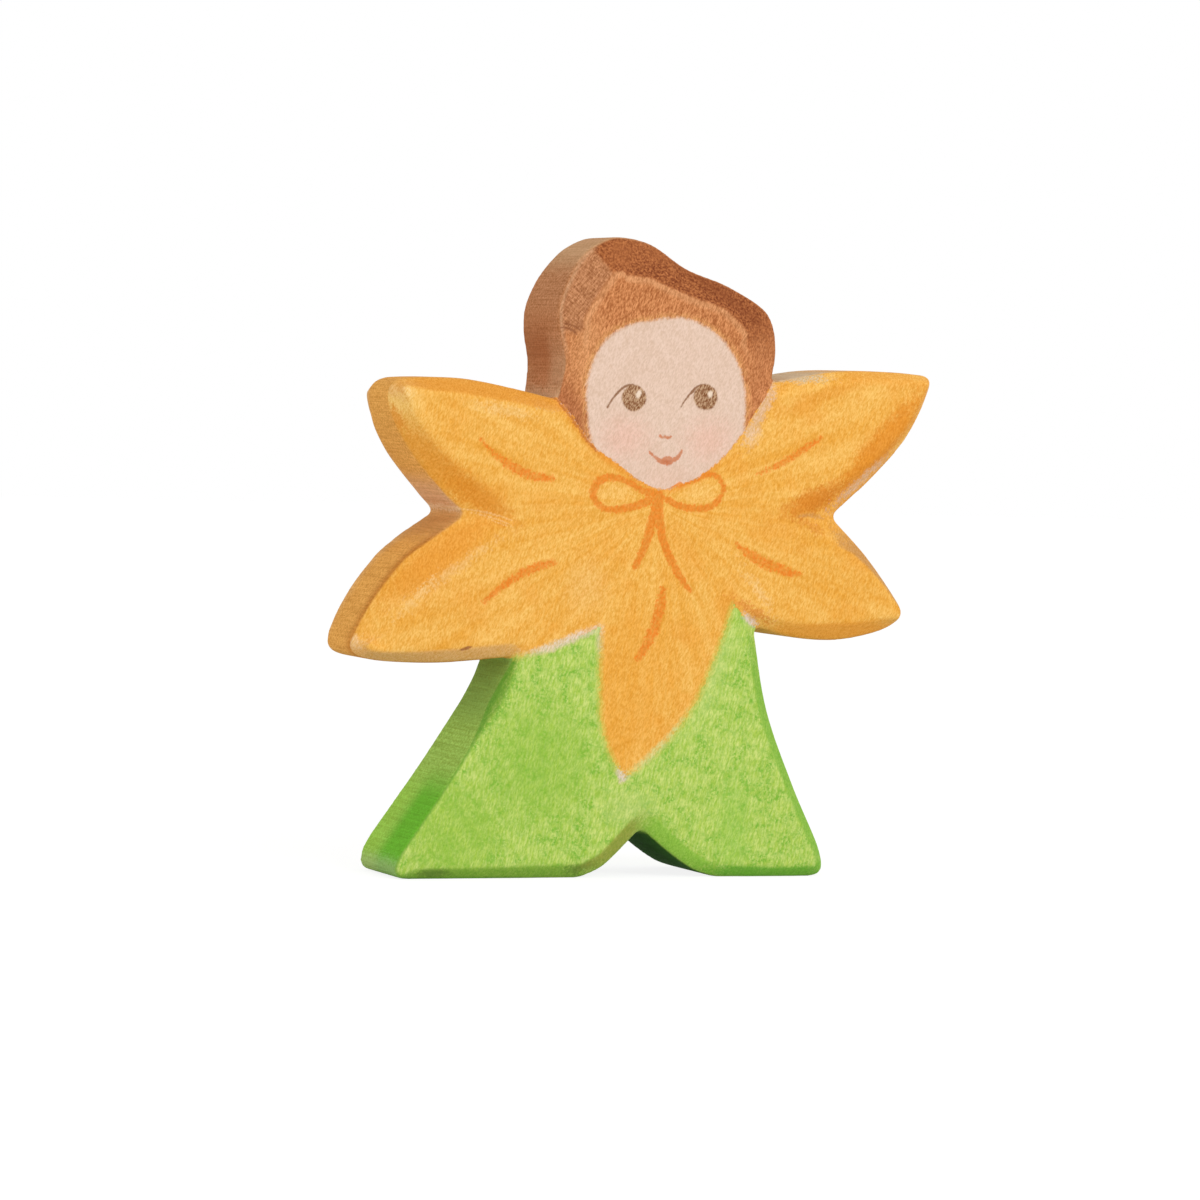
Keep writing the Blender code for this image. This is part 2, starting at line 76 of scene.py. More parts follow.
def srgb(red: float, green: float, blue: float) -> tuple[float, float, float, float]:
    """A colour given as it looks, in the linear values that a shader takes.

    Args:
        red: its red from 0 to 255.
        green: its green.
        blue: its blue.

    Returns:
        The colour, opaque.
    """

    def linear(value: float) -> float:
        """A channel's linear value."""
        share = value / 255
        return share / 12.92 if share <= 0.04045 else ((share + 0.055) / 1.055) ** 2.4

    return (linear(red), linear(green), linear(blue), 1.0)


def placed(name: str, data: bpy.types.ID) -> bpy.types.Object:
    """Puts data into the scene.

    Args:
        name: the object's name.
        data: a mesh, a lamp or a camera.

    Returns:
        The object that shows it.
    """
    made = bpy.data.objects.new(name, data)
    bpy.context.scene.collection.objects.link(made)
    return made


def meshed(name: str, bm: bmesh.types.BMesh) -> bpy.types.Mesh:
    """Turns a bmesh into a mesh and frees it.

    Args:
        name: the mesh's name.
        bm: the bmesh.

    Returns:
        The mesh.
    """
    mesh = bpy.data.meshes.new(name)
    bm.to_mesh(mesh)
    bm.free()
    return mesh


def turned(bearing: float) -> Vector:
    """The unit vector along a bearing in degrees, anticlockwise from the right."""
    return Vector((math.cos(math.radians(bearing)), math.sin(math.radians(bearing))))


def outward(direction: Vector) -> Vector:
    """The unit normal on the right of a direction."""
    return Vector((direction.y, -direction.x)).normalized()


def bowed(start: Vector, end: Vector, bellies: tuple) -> list[Vector]:
    """Points of a bowed line.

    Args:
        start: its first point.
        end: its last point.
        bellies: pairs of the share of the way and the bulge to the right there.

    Returns:
        The two ends with the bulging points between them.
    """
    chord = end - start
    normal = outward(chord)
    return [start] + [start + chord * share + normal * bulge for share, bulge in bellies] + [end]


def smooth_curve(points: list[Vector], spacing: float) -> list[Vector]:
    """Points about a spacing apart on a Catmull-Rom curve.

    Args:
        points: what the curve passes through.
        spacing: distance between neighbouring points of the result.

    Returns:
        The curve's points, its ends included.
    """
    padded = [points[0] * 2 - points[1], *points, points[-1] * 2 - points[-2]]
    curve = []
    for before, start, end, after in zip(padded, padded[1:], padded[2:], padded[3:]):
        steps = max(1, round((end - start).length / spacing))
        leave = (end - before) / 2 * min(1.0, 2 * (end - start).length / (end - before).length)
        arrive = (after - start) / 2 * min(1.0, 2 * (end - start).length / (after - start).length)
        for step in range(steps):
            t = step / steps
            curve.append(
                start * (2 * t**3 - 3 * t**2 + 1)
                + leave * (t**3 - 2 * t**2 + t)
                + end * (3 * t**2 - 2 * t**3)
                + arrive * (t**3 - t**2)
            )
    return curve + [points[-1]]


def lengths_along(curve: list[Vector]) -> list[float]:
    """Measures a curve.

    Args:
        curve: its points.

    Returns:
        The distance along it from its first point to each of its points.
    """
    total = [0.0]
    for start, end in zip(curve, curve[1:]):
        total.append(total[-1] + (end - start).length)
    return total


def point_at(curve: list[Vector], distance: float) -> Vector:
    """Finds a point of a curve.

    Args:
        curve: its points.
        distance: how far along it the point lies.

    Returns:
        The point, or the end of a curve that is too short.
    """
    along = lengths_along(curve)
    for start, end, near, far in zip(curve, curve[1:], along, along[1:]):
        if far >= distance:
            return start.lerp(end, (distance - near) / (far - near))
    return curve[-1]


def gap_to(start: Vector, end: Vector, across: np.ndarray, up: np.ndarray) -> tuple:
    """How far points lie from a segment.

    Args:
        start: the segment's first point.
        end: its last point.
        across: x of each point.
        up: z of each point.

    Returns:
        The distances, and the shares of the segment's length where the points are nearest to it.
    """
    run = end - start
    share = ((across - start.x) * run.x + (up - start.y) * run.y) / run.length_squared
    share = np.clip(share, 0.0, 1.0)
    return np.hypot(across - start.x - run.x * share, up - start.y - run.y * share), share


def crossing(a: Vector, b: Vector, c: Vector, d: Vector) -> Optional[Vector]:
    """Crosses two segments.

    Args:
        a: the start of the first.
        b: its end.
        c: the start of the second.
        d: its end.

    Returns:
        The point where they cross, or None.
    """
    first = b - a
    second = d - c
    turn = first.x * second.y - first.y * second.x
    if abs(turn) < PARALLEL:
        return None
    offset = c - a
    along_first = (offset.x * second.y - offset.y * second.x) / turn
    along_second = (offset.x * first.y - offset.y * first.x) / turn
    if 0 <= along_first <= 1 and 0 <= along_second <= 1:
        return a + first * along_first
    return None


@dataclass(frozen=True)
class Corner:
    """A turning point of the sawn outline.

    chamfer holds the chamfer's width and depth in front and its depth behind.
    """

    x: float
    z: float
    rounding: float
    chamfer: tuple[float, float, float]

    @property
    def point(self) -> Vector:
        """The corner before it is rounded."""
        return Vector((self.x, self.z))


@dataclass(frozen=True)
class Edge:
    """The outline from one corner to the next.

    bellies holds shares of the straight way and the bulges there, and chamfers holds shares of the edge's
    length with the chamfer's width, front depth and back depth. A corner's own chamfer stands at an end
    that has none.
    """

    bellies: tuple = ()
    chamfers: tuple = ()

    def stops(self, corner: Corner, following: Corner) -> list:
        """The chamfers along the edge, with its corners' own at ends that have none.

        Args:
            corner: the corner where it starts.
            following: the corner where it ends.

        Returns:
            Pairs of the share of the edge's length and the chamfer there.
        """
        stops = [(share, chamfer) for share, *chamfer in self.chamfers]
        if stops[0][0] > 0:
            stops.insert(0, (0.0, corner.chamfer))
        if stops[-1][0] < 1:
            stops.append((1.0, following.chamfer))
        return stops


@dataclass(frozen=True)
class Sample:
    """One point of the finished outline; corner is the corner that it rounds, or -1."""

    point: Vector
    chamfer: Vector
    corner: int = -1


@dataclass
class Outline:
    """The sawn outline, anticlockwise as seen from the front, from the left foot.

    window is how many samples ahead an inset looks for a crossing with itself. hair holds bearings from
    the face's middle in degrees, each with the hair's distance there and its chamfer's three measures.
    """

    spacing: float = 0.7
    rounding_steps: int = 6
    window: int = 90
    face_middle: Vector = field(default_factory=lambda: Vector((1.64, 66.0)))
    neck_right: int = 9
    neck_left: int = 10
    waist_right: int = 5
    waist_left: int = 14
    corners: tuple[Corner, ...] = (
        Corner(-37.36, 0.0, 3.2, (0.6, 0.5, 2.4)),
        Corner(-8.56, 0.0, 0.6, (2.0, 1.4, 1.2)),
        Corner(0.34, 6.8, 1.0, (2.4, 1.6, 1.2)),
        Corner(11.64, 0.0, 0.6, (1.8, 1.4, 1.2)),
        Corner(28.74, 0.0, 2.4, (1.6, 1.4, 1.4)),
        Corner(16.54, 35.3, 1.2, (1.8, 1.4, 1.4)),
        Corner(40.24, 36.9, 2.6, (1.8, 2.4, 4.5)),
        Corner(28.04, 51.0, 1.2, (4.0, 1.6, 1.4)),
        Corner(43.44, 71.2, 1.8, (1.6, 2.4, 4.5)),
        Corner(18.24, 69.7, 0.6, (3.4, 1.6, 1.4)),
        Corner(-14.06, 66.4, 0.6, (1.8, 1.4, 2.4)),
        Corner(-38.96, 68.4, 3.0, (2.0, 3.2, 7.0)),
        Corner(-27.16, 50.3, 1.2, (4.6, 1.8, 2.7)),
        Corner(-43.86, 31.0, 2.6, (1.6, 2.6, 5.4)),
        Corner(-19.36, 30.7, 0.8, (2.0, 1.0, 1.2)),
    )
    edges: tuple[Edge, ...] = (
        Edge((), ((0.15, 1.4, 1.1, 1.2), (0.5, 1.6, 1.2, 1.2))),
        Edge(((0.30, 0.8), (0.60, 0.6)), ((0.5, 2.2, 1.4, 1.2),)),
        Edge(((0.43, 0.7), (0.75, 0.8)), ((0.5, 2.0, 1.4, 1.2),)),
        Edge((), ((0.5, 1.4, 1.2, 1.2),)),
        Edge(((0.12, 0.3), (0.36, -0.8), (0.68, -1.5)), ((0.5, 1.7, 1.4, 1.4),)),
        Edge(
            ((0.25, 1.9), (0.55, 2.7), (0.83, 1.8)),
            ((0.25, 2.1, 1.6, 2.2), (0.5, 2.6, 1.8, 2.6), (0.8, 2.1, 1.8, 3.6), (1.0, 0.6, 1.8, 4.5)),
        ),
        Edge(
            ((0.26, 0.5), (0.60, 0.7)),
            ((0.0, 0.6, 1.8, 4.5), (0.35, 0.9, 1.8, 3.4), (0.7, 1.8, 1.8, 2.4)),
        ),
        Edge(
            ((0.30, 1.6), (0.59, 2.3), (0.80, 1.6)),
            ((0.15, 3.2, 1.8, 2.2), (0.4, 2.4, 2.0, 2.8), (0.7, 1.7, 2.0, 3.6), (1.0, 1.0, 2.0, 4.5)),
        ),
        Edge(((0.25, 0.8), (0.62, 1.2)), ((0.0, 1.0, 2.0, 4.5), (0.5, 1.4, 1.8, 2.6), (1.0, 1.8, 1.4, 1.4))),
        Edge(),
        Edge(
            ((0.28, 0.9), (0.55, 1.4), (0.80, 0.9)),
            ((0.5, 2.2, 2.2, 3.0), (0.75, 1.9, 2.4, 4.4), (1.0, 0.6, 2.6, 6.4)),
        ),
        Edge(
            ((0.24, 1.8), (0.50, 2.0), (0.82, 1.1)),
            (
                (0.0, 2.0, 3.0, 6.9), (0.16, 2.3, 2.9, 6.3), (0.32, 2.7, 2.7, 4.8), (0.5, 3.0, 2.6, 3.9),
                (0.8, 4.0, 2.1, 4.0),
            ),
        ),
        Edge(
            ((0.24, 1.4), (0.43, 2.3), (0.72, 1.7)),
            (
                (0.11, 4.4, 1.8, 2.1), (0.22, 4.2, 1.9, 1.5), (0.33, 4.0, 2.0, 2.1), (0.45, 4.1, 2.1, 3.0),
                (0.6, 4.4, 2.3, 2.9), (0.8, 4.8, 2.5, 3.7), (1.0, 5.0, 2.6, 5.2),
            ),
        ),
        Edge(((0.20, 1.0), (0.55, 1.1)), ((0.0, 1.0, 2.4, 5.0), (0.5, 1.8, 1.6, 2.4))),
        Edge(
            ((0.09, -0.35), (0.20, -0.7), (0.38, -0.7), (0.55, -0.55), (0.72, -0.15), (0.90, 0.25)),
            (
                (0.0, 0.6, 1.2, 3.0), (0.10, 0.7, 2.4, 3.8), (0.20, 0.8, 3.0, 3.4), (0.30, 0.5, 1.6, 2.9),
                (0.40, 0.3, 0.5, 2.5), (0.55, 0.3, 0.4, 1.9), (0.75, 0.2, 0.3, 1.4), (0.85, 0.2, 0.3, 1.3),
                (1.0, 0.3, 0.4, 2.3),
            ),
        ),
    )
    hair: tuple = (
        (26, 19.3, 5.4, 2.0, 2.0), (40, 20.8, 5.2, 2.2, 2.4), (60, 19.5, 3.4, 2.0, 2.8),
        (80, 19.4, 3.6, 2.0, 3.0), (95, 22.4, 5.0, 2.2, 4.0), (107, 24.25, 5.4, 2.4, 4.4),
        (115, 24.3, 4.2, 2.2, 4.3), (122, 23.8, 4.6, 2.0, 4.5), (130.5, 22.35, 4.3, 1.8, 2.8),
        (141, 20.6, 3.8, 1.4, 2.4), (149.5, 18.15, 3.0, 1.3, 1.2), (160, 15.8, 2.0, 1.2, 0.8),
    )

    def __post_init__(self) -> None:
        """Works out the samples once."""
        self.samples = self._sampled()

    def _hair_curve(self) -> tuple[list[Vector], list]:
        """The hair's edge from the right of the neck to its left.

        Returns:
            Its points, and pairs of the share of its length and the chamfer there.
        """
        points = [self.corners[self.neck_right].point]
        chamfers = [self.corners[self.neck_right].chamfer]
        for bearing, distance, *chamfer in self.hair:
            points.append(self.face_middle + turned(bearing) * distance)
            chamfers.append(tuple(chamfer))
        points.append(self.corners[self.neck_left].point)
        chamfers.append(self.corners[self.neck_left].chamfer)
        along = lengths_along(points)
        shares = [(length / along[-1], chamfer) for length, chamfer in zip(along, chamfers)]
        return smooth_curve(points, self.spacing), shares

    def _edge_samples(self, curve: list[Vector], chamfers: list, begin: float, finish: float) -> list[Sample]:
        """The samples of one edge without its rounded ends.

        Args:
            curve: the whole edge.
            chamfers: pairs of the share of the edge's length and the chamfer there.
            begin: length that the first corner's rounding takes.
            finish: length that the last corner's rounding takes.

        Returns:
            The edge's samples in order.
        """
        along = lengths_along(curve)
        total = along[-1]

        def chamfer_at(distance: float) -> Vector:
            """The chamfer at a distance along the edge."""
            share = distance / total
            for (near, low), (far, high) in zip(chamfers, chamfers[1:]):
                if far >= share:
                    return Vector(low).lerp(Vector(high), (share - near) / (far - near))
            return Vector(chamfers[-1][1])

        ends = (begin, total - finish)
        inner = [
            Sample(point, chamfer_at(distance))
            for point, distance in zip(curve, along)
            if ends[0] + SAME_POINT < distance < ends[1] - SAME_POINT
        ]
        first, last = (Sample(point_at(curve, end), chamfer_at(end)) for end in ends)
        return [first, *inner, last]

    def _sampled(self) -> list[Sample]:
        """Samples the outline.

        Returns:
            All its samples in order, with every corner rounded.
        """
        curves = []
        for index, (corner, edge) in enumerate(zip(self.corners, self.edges)):
            following = self.corners[(index + 1) % len(self.corners)]
            if index == self.neck_right:
                curves.append(self._hair_curve())
                continue
            points = bowed(corner.point, following.point, edge.bellies)
            curves.append((smooth_curve(points, self.spacing), edge.stops(corner, following)))
        samples: list[Sample] = []
        for index, (curve, chamfers) in enumerate(curves):
            corner = self.corners[index]
            following_index = (index + 1) % len(self.corners)
            following = self.corners[following_index]
            samples += self._edge_samples(curve, chamfers, corner.rounding, following.rounding)
            start = samples[-1].point
            next_curve, next_chamfers = curves[following_index]
            end = point_at(next_curve, following.rounding)
            for step in range(1, self.rounding_steps):
                t = step / self.rounding_steps
                point = start * (1 - t) ** 2 + following.point * 2 * t * (1 - t) + end * t**2
                chamfer = Vector(chamfers[-1][1]).lerp(Vector(next_chamfers[0][1]), t)
                samples.append(Sample(point, chamfer, following_index))
        return samples

    def _valley(self, corner_index: int, widths: list[float]) -> Optional[Vector]:
        """Where the chamfers of a notch meet on the board's face.

        Args:
            corner_index: the notch's corner.
            widths: the chamfer's width at each sample.

        Returns:
            The point, or None at an outer corner.
        """
        rounding = [index for index, sample in enumerate(self.samples) if sample.corner == corner_index]
        last, first = rounding[0] - 1, (rounding[-1] + 1) % len(self.samples)
        corner = self.corners[corner_index].point
        arriving = outward(corner - self.samples[last].point)
        leaving = outward(self.samples[first].point - corner)
        if arriving.x * leaving.y - arriving.y * leaving.x >= 0:
            return None
        lean = arriving.dot(leaving)
        from_arriving = (widths[last] - lean * widths[first]) / (1 - lean**2)
        from_leaving = (widths[first] - lean * widths[last]) / (1 - lean**2)
        return corner - arriving * from_arriving - leaving * from_leaving

    def inset(self, widths: list[float]) -> list[Vector]:
        """The outline moved inwards.

        Args:
            widths: how far, for each sample.

        Returns:
            A point for each sample. Those of a notch meet in its valley, and those of a tip that is
            narrower than its chamfers meet in one point.
        """
        count = len(self.samples)
        valleys = {}
        for sample in self.samples:
            if sample.corner >= 0 and sample.corner not in valleys:
                valleys[sample.corner] = self._valley(sample.corner, widths)
        moved = []
        for index, sample in enumerate(self.samples):
            valley = valleys.get(sample.corner)
            if valley is not None:
                moved.append(valley)
                continue
            direction = self.samples[(index + 1) % count].point - self.samples[index - 1].point
            moved.append(sample.point - outward(direction) * widths[index])
        for index in range(count):
            for reach in range(self.window, 1, -1):
                a, b = moved[index], moved[(index + 1) % count]
                c, d = moved[(index + reach) % count], moved[(index + reach + 1) % count]
                if (b - a).length < SAME_POINT or (d - c).length < SAME_POINT:
                    continue
                meeting = crossing(a, b, c, d)
                if meeting is not None:
                    for between in range(index + 1, index + reach + 1):
                        moved[between % count] = meeting
                    break
        return moved


@dataclass
class Border:
    """A painted border: one that crosses the board from left to right, or one that runs round a zone."""

    path: list[Vector]
    side: Side
    reach: float = 60.0

    def polygon(self) -> list[Vector]:
        """The border's own zone.

        Returns:
            Its corners, closed far outside the board where the border crosses it.
        """
        if self.side is Side.WITHIN:
            return self.path[:-1]
        high = self.reach * 2 if self.side is Side.OVER else -self.reach
        return [*self.path, Vector((self.reach, high)), Vector((-self.reach, high))]

    def field(self, across: np.ndarray, up: np.ndarray) -> np.ndarray:
        """Signed distance of points from the border, positive in its own zone.

        Args:
            across: x of each point.
            up: z of each point.

        Returns:
            One distance for each point, in millimetres.
        """
        nearest = np.full(across.shape, np.inf)
        for start, end in zip(self.path, self.path[1:]):
            nearest = np.minimum(nearest, gap_to(start, end, across, up)[0])
        inside = np.zeros(across.shape, bool)
        polygon = self.polygon()
        for start, end in zip(polygon, polygon[1:] + polygon[:1]):
            if start.y == end.y:
                continue
            spans = (start.y > up) != (end.y > up)
            left = across < start.x + (end.x - start.x) * (up - start.y) / (end.y - start.y)
            inside ^= spans & left
        return np.where(inside, nearest, -nearest)


@dataclass
class Borders:
    """The neckline, the face's edge and the cape's hem.

    overrun is how far a border runs on outside the board, along the bearings given for its two ends.
    """

    outline: Outline
    spacing: float = 0.7
    overrun: float = 40.0
    neck_bearings: tuple[float, float] = (135.0, 50.0)
    waist_bearings: tuple[float, float] = (208.0, -42.0)
    collar: tuple = (
        (-12.6, 64.5), (-10.9, 62.3), (-9.2, 60.3), (-7.4, 58.95), (-4.4, 57.0), (-1.2, 55.1), (1.5, 54.3),
        (4.1, 55.0), (7.0, 56.3), (9.7, 58.2), (12.2, 61.0), (13.9, 63.3), (15.2, 65.4), (16.8, 67.7),
    )
    face_edge: tuple = (
        (-9.1, 60.0), (-9.8, 62.6), (-10.2, 65.7), (-10.3, 68.5), (-9.6, 71.3), (-8.3, 74.0), (-6.2, 76.0),
        (-3.4, 77.2), (-0.4, 77.8), (2.4, 78.2), (4.9, 78.0), (7.5, 77.0), (9.9, 75.3), (11.8, 73.0),
        (13.0, 70.2), (13.6, 67.1), (13.6, 64.4), (13.3, 61.6), (10.5, 56.0), (2.0, 51.5), (-7.0, 55.0),
    )
    petal_left: Vector = field(default_factory=lambda: Vector((-7.26, 35.0)))
    petal_tip: Vector = field(default_factory=lambda: Vector((-3.26, 13.8)))
    petal_right: Vector = field(default_factory=lambda: Vector((12.84, 38.4)))

    def _outside(self, corner_index: int, bearing: float) -> Vector:
        """A point outside the board, along a bearing from one of its notches."""
        return self.outline.corners[corner_index].point + turned(bearing) * self.overrun

    def neckline(self) -> Border:
        """The border of head and cape.

        Returns:
            The border, from the left of the neck by the chin to its right.
        """
        left = self.outline.corners[self.outline.neck_left].point
        right = self.outline.corners[self.outline.neck_right].point
        path = smooth_curve([left, *(Vector(point) for point in self.collar), right], self.spacing)
        corners = (self.outline.neck_left, self.outline.neck_right)
        begin, end = map(self._outside, corners, self.neck_bearings)
        return Border([begin, *path, end], Side.OVER)

    def face(self) -> Border:
        """The border of hair and face, closed below the neckline, where the cape covers it."""
        points = [Vector(point) for point in self.face_edge]
        return Border(smooth_curve([*points, points[0]], self.spacing), Side.WITHIN)

    def cape_hem(self) -> Border:
        """The border of cape and dress.

        Returns:
            The border, from the left of the waist round the front petal to its right.
        """
        stops = (
            self.outline.corners[self.outline.waist_left].point,
            self.petal_left,
            self.petal_tip,
            self.petal_right,
            self.outline.corners[self.outline.waist_right].point,
        )
        sides = (
            ((0.40, 0.4),),
            ((0.30, 1.1), (0.62, 1.9), (0.85, 1.1)),
            ((0.20, 2.1), (0.48, 3.1), (0.75, 1.8)),
            ((0.45, 0.2),),
        )
        corners = (self.outline.waist_left, self.outline.waist_right)
        begin, finish = map(self._outside, corners, self.waist_bearings)
        path = [begin]
        for start, end, bellies in zip(stops, stops[1:], sides):
            path += smooth_curve(bowed(start, end, bellies), self.spacing)[:-1]
        return Border([*path, stops[-1], finish], Side.UNDER)


@dataclass
class Board:
    """The sawn, chamfered and sanded board, before it is parted into pieces.

    grit is the voxel size of the remesh, and sanding says how often the surface is smoothed.
    """

    outline: Outline
    neckline: Border
    face: Border
    cape_hem: Border
    grit: float = 0.36
    sanding: int = 7
    softening: float = 0.5
    back_width: float = 1.8
    face_depth: float = 4.0
    crisp_angle: float = 55.0

    def _levels(self) -> list[tuple[list[Vector], list[float]]]:
        """The board's four rings.

        Returns:
            The points and the depths of each, from front to back.
        """
        samples = self.outline.samples
        edge = [sample.point for sample in samples]
        return [
            (self.outline.inset([sample.chamfer[0] for sample in samples]), [BOARD_FRONT] * len(samples)),
            (edge, [BOARD_FRONT + sample.chamfer[1] for sample in samples]),
            (edge, [BOARD_BACK - sample.chamfer[2] for sample in samples]),
            (self.outline.inset([self.back_width] * len(samples)), [BOARD_BACK] * len(samples)),
        ]

    def _prism(self, name: str, levels: list[tuple[list[Vector], list[float]]]) -> bpy.types.Object:
        """A closed solid through rings.

        Args:
            name: the object's name.
            levels: the rings' points and their depths, from front to back.

        Returns:
            The solid as an object of the scene.
        """
        bm = bmesh.new()
        ring = bmesh.ops.create_circle(bm, segments=len(levels[0][0]), radius=1.0)["verts"]
        edges = list(bm.edges)
        for number, (points, depths) in enumerate(levels):
            if number:
                fresh = bmesh.ops.extrude_edge_only(bm, edges=edges)["geom"]
                made = {item for item in fresh if isinstance(item, bmesh.types.BMVert)}
                edges = [item for item in fresh if isinstance(item, bmesh.types.BMEdge)]
                ring = [
                    next(link.other_vert(vert) for link in vert.link_edges if link.other_vert(vert) in made)
                    for vert in ring
                ]
            for vert, point, depth in zip(ring, points, depths):
                vert.co = Vector((point.x, depth, point.y)) * MM
        bmesh.ops.remove_doubles(bm, verts=bm.verts, dist=SAME_POINT * MM)
        rims = [edge for edge in bm.edges if edge.is_boundary]
        bmesh.ops.holes_fill(bm, edges=rims, sides=0)
        bmesh.ops.recalc_face_normals(bm, faces=bm.faces)
        return placed(name, meshed(name, bm))

    def sanded(self) -> bpy.types.Object:
        """Sands the board.

        Returns:
            The board with its arrises softened as by sandpaper.
        """
        blank = self._prism("board", self._levels())
        remesh = blank.modifiers.new("grit", "REMESH")
        remesh.mode = "VOXEL"
        remesh.voxel_size = self.grit * MM
        remesh.use_smooth_shade = True
        smooth = blank.modifiers.new("sanding", "SMOOTH")
        smooth.factor = self.softening
        smooth.iterations = self.sanding
        self._settle(blank)
        return blank

    def _settle(self, piece: bpy.types.Object) -> None:
        """Turns a piece's modifiers into its mesh.

        Args:
            piece: the piece.
        """
        evaluated = piece.evaluated_get(bpy.context.evaluated_depsgraph_get())
        mesh = bpy.data.meshes.new_from_object(evaluated)
        old = piece.data
        piece.modifiers.clear()
        piece.data = mesh
        bpy.data.meshes.remove(old)
        mesh.name = piece.name

    def part(self, name: str, blank: bpy.types.Object, cuts: list[tuple[str, str]]) -> bpy.types.Object:
        """One piece cut from the sanded board.

        Args:
            name: the piece's name.
            blank: the sanded board.
            cuts: pairs of the operation and the name of what it cuts with, in order.

        Returns:
            The finished piece, smooth-shaded with crisp cut faces.
        """
        piece = placed(name, blank.data.copy())
        cutters = []
        for operation, shape in cuts:
            cutters.append(self._cutter(shape))
            cut = piece.modifiers.new(shape, "BOOLEAN")
            cut.operation = operation
            cut.object = cutters[-1]
            cut.solver = "MANIFOLD"
        self._settle(piece)
        for cutter in cutters:
            bpy.data.objects.remove(cutter)
        piece.data.shade_smooth()
        piece.data.set_sharp_from_angle(angle=math.radians(self.crisp_angle))
        self._mark(piece)
        return piece

    def _cutter(self, shape: str) -> bpy.types.Object:
        """Makes the solid for a cut.

        Args:
            shape: the name of the zone that it takes in.

        Returns:
            The solid.
        """
        ring = {
            "head": self.neckline.polygon,
            "face": self.face.polygon,
            "dress": self.cape_hem.polygon,
            "cape": lambda: self.neckline.path + self.cape_hem.path[::-1],
        }[shape]()
        depths = (BOARD_FRONT * 2, BOARD_FRONT + self.face_depth if shape == "face" else BOARD_BACK * 2)
        return self._prism(f"{shape}_cutter", [(ring, [depth] * len(ring)) for depth in depths])

    def _mark(self, piece: bpy.types.Object) -> None:
        """Writes on a piece's points how far they lie from the borders, the chamfers and the wall.

        Args:
            piece: the piece.
        """
        mesh = piece.data
        place = np.empty(len(mesh.vertices) * 3, np.float32)
        mesh.vertices.foreach_get("co", place)
        across, depth, up = place.reshape(-1, 3).astype(float).T / MM
        nearest = np.full(across.shape, np.inf)
        width = np.zeros(across.shape)
        step = np.zeros(across.shape)
        samples = self.outline.samples
        for start, end in zip(samples, samples[1:] + samples[:1]):
            if (end.point - start.point).length < SAME_POINT:
                continue
            gap, share = gap_to(start.point, end.point, across, up)
            closer = gap < nearest
            nearest = np.where(closer, gap, nearest)
            width = np.where(closer, start.chamfer[0] * (1 - share) + end.chamfer[0] * share, width)
            step = np.where(closer, start.chamfer[1] * (1 - share) + end.chamfer[1] * share, step)
        marks = {
            "head_field": self.neckline.field(across, up),
            "face_field": self.face.field(across, up),
            "dress_field": self.cape_hem.field(across, up),
            "chamfer_field": nearest - width,
            "rim_field": nearest,
            "wall_field": depth - BOARD_FRONT - step,
        }
        for name, values in marks.items():
            layer = mesh.attributes.new(name, "FLOAT", "POINT")
            layer.data.foreach_set("value", values.astype(np.float32))


Input = Union[float, tuple, "Wire"]


class Wire:
    """A node's output that can stand in an expression."""

    def __init__(self, bench: "Tree", socket: bpy.types.NodeSocket) -> None:
        """Keeps the socket and the tree that its further nodes go in."""
        self.bench = bench
        self.socket = socket

    def _maths(self, operation: str, *values: Input) -> "Wire":
        """A Math node over values."""
        return self.bench.node("ShaderNodeMath", {"operation": operation}, list(values))

    def __add__(self, other: Input) -> "Wire":
        """The sum."""
        return self._maths("ADD", self, other)

    __radd__ = __add__

    def __sub__(self, other: Input) -> "Wire":
        """The difference."""
        return self._maths("SUBTRACT", self, other)

    def __rsub__(self, other: Input) -> "Wire":
        """The difference, taken from a number."""
        return self._maths("SUBTRACT", other, self)

    def __mul__(self, other: Input) -> "Wire":
        """The product."""
        return self._maths("MULTIPLY", self, other)

    __rmul__ = __mul__

    def __truediv__(self, other: Input) -> "Wire":
        """The quotient."""
        return self._maths("DIVIDE", self, other)

    def __rtruediv__(self, other: Input) -> "Wire":
        """A number divided by this."""
        return self._maths("DIVIDE", other, self)

    def __neg__(self) -> "Wire":
        """The opposite."""
        return self._maths("MULTIPLY", self, -1.0)

    def __abs__(self) -> "Wire":
        """The size without its sign."""
        return self._maths("ABSOLUTE", self)

    def most(self, other: Input) -> "Wire":
        """The larger of two values."""
        return self._maths("MAXIMUM", self, other)

    def least(self, other: Input) -> "Wire":
        """The smaller of two values."""
        return self._maths("MINIMUM", self, other)

    def rise(self, low: float, high: float) -> "Wire":
        """A soft step from 0 to 1.

        Args:
            low: where it is 0.
            high: where it is 1. It may be the smaller of the two, and then the step falls.

        Returns:
            The step.
        """
        if low > high:
            return 1.0 - self.rise(high, low)
        inputs = {"Value": self, "From Min": low, "From Max": high}
        return self.bench.node("ShaderNodeMapRange", {"interpolation_type": "SMOOTHSTEP"}, inputs)


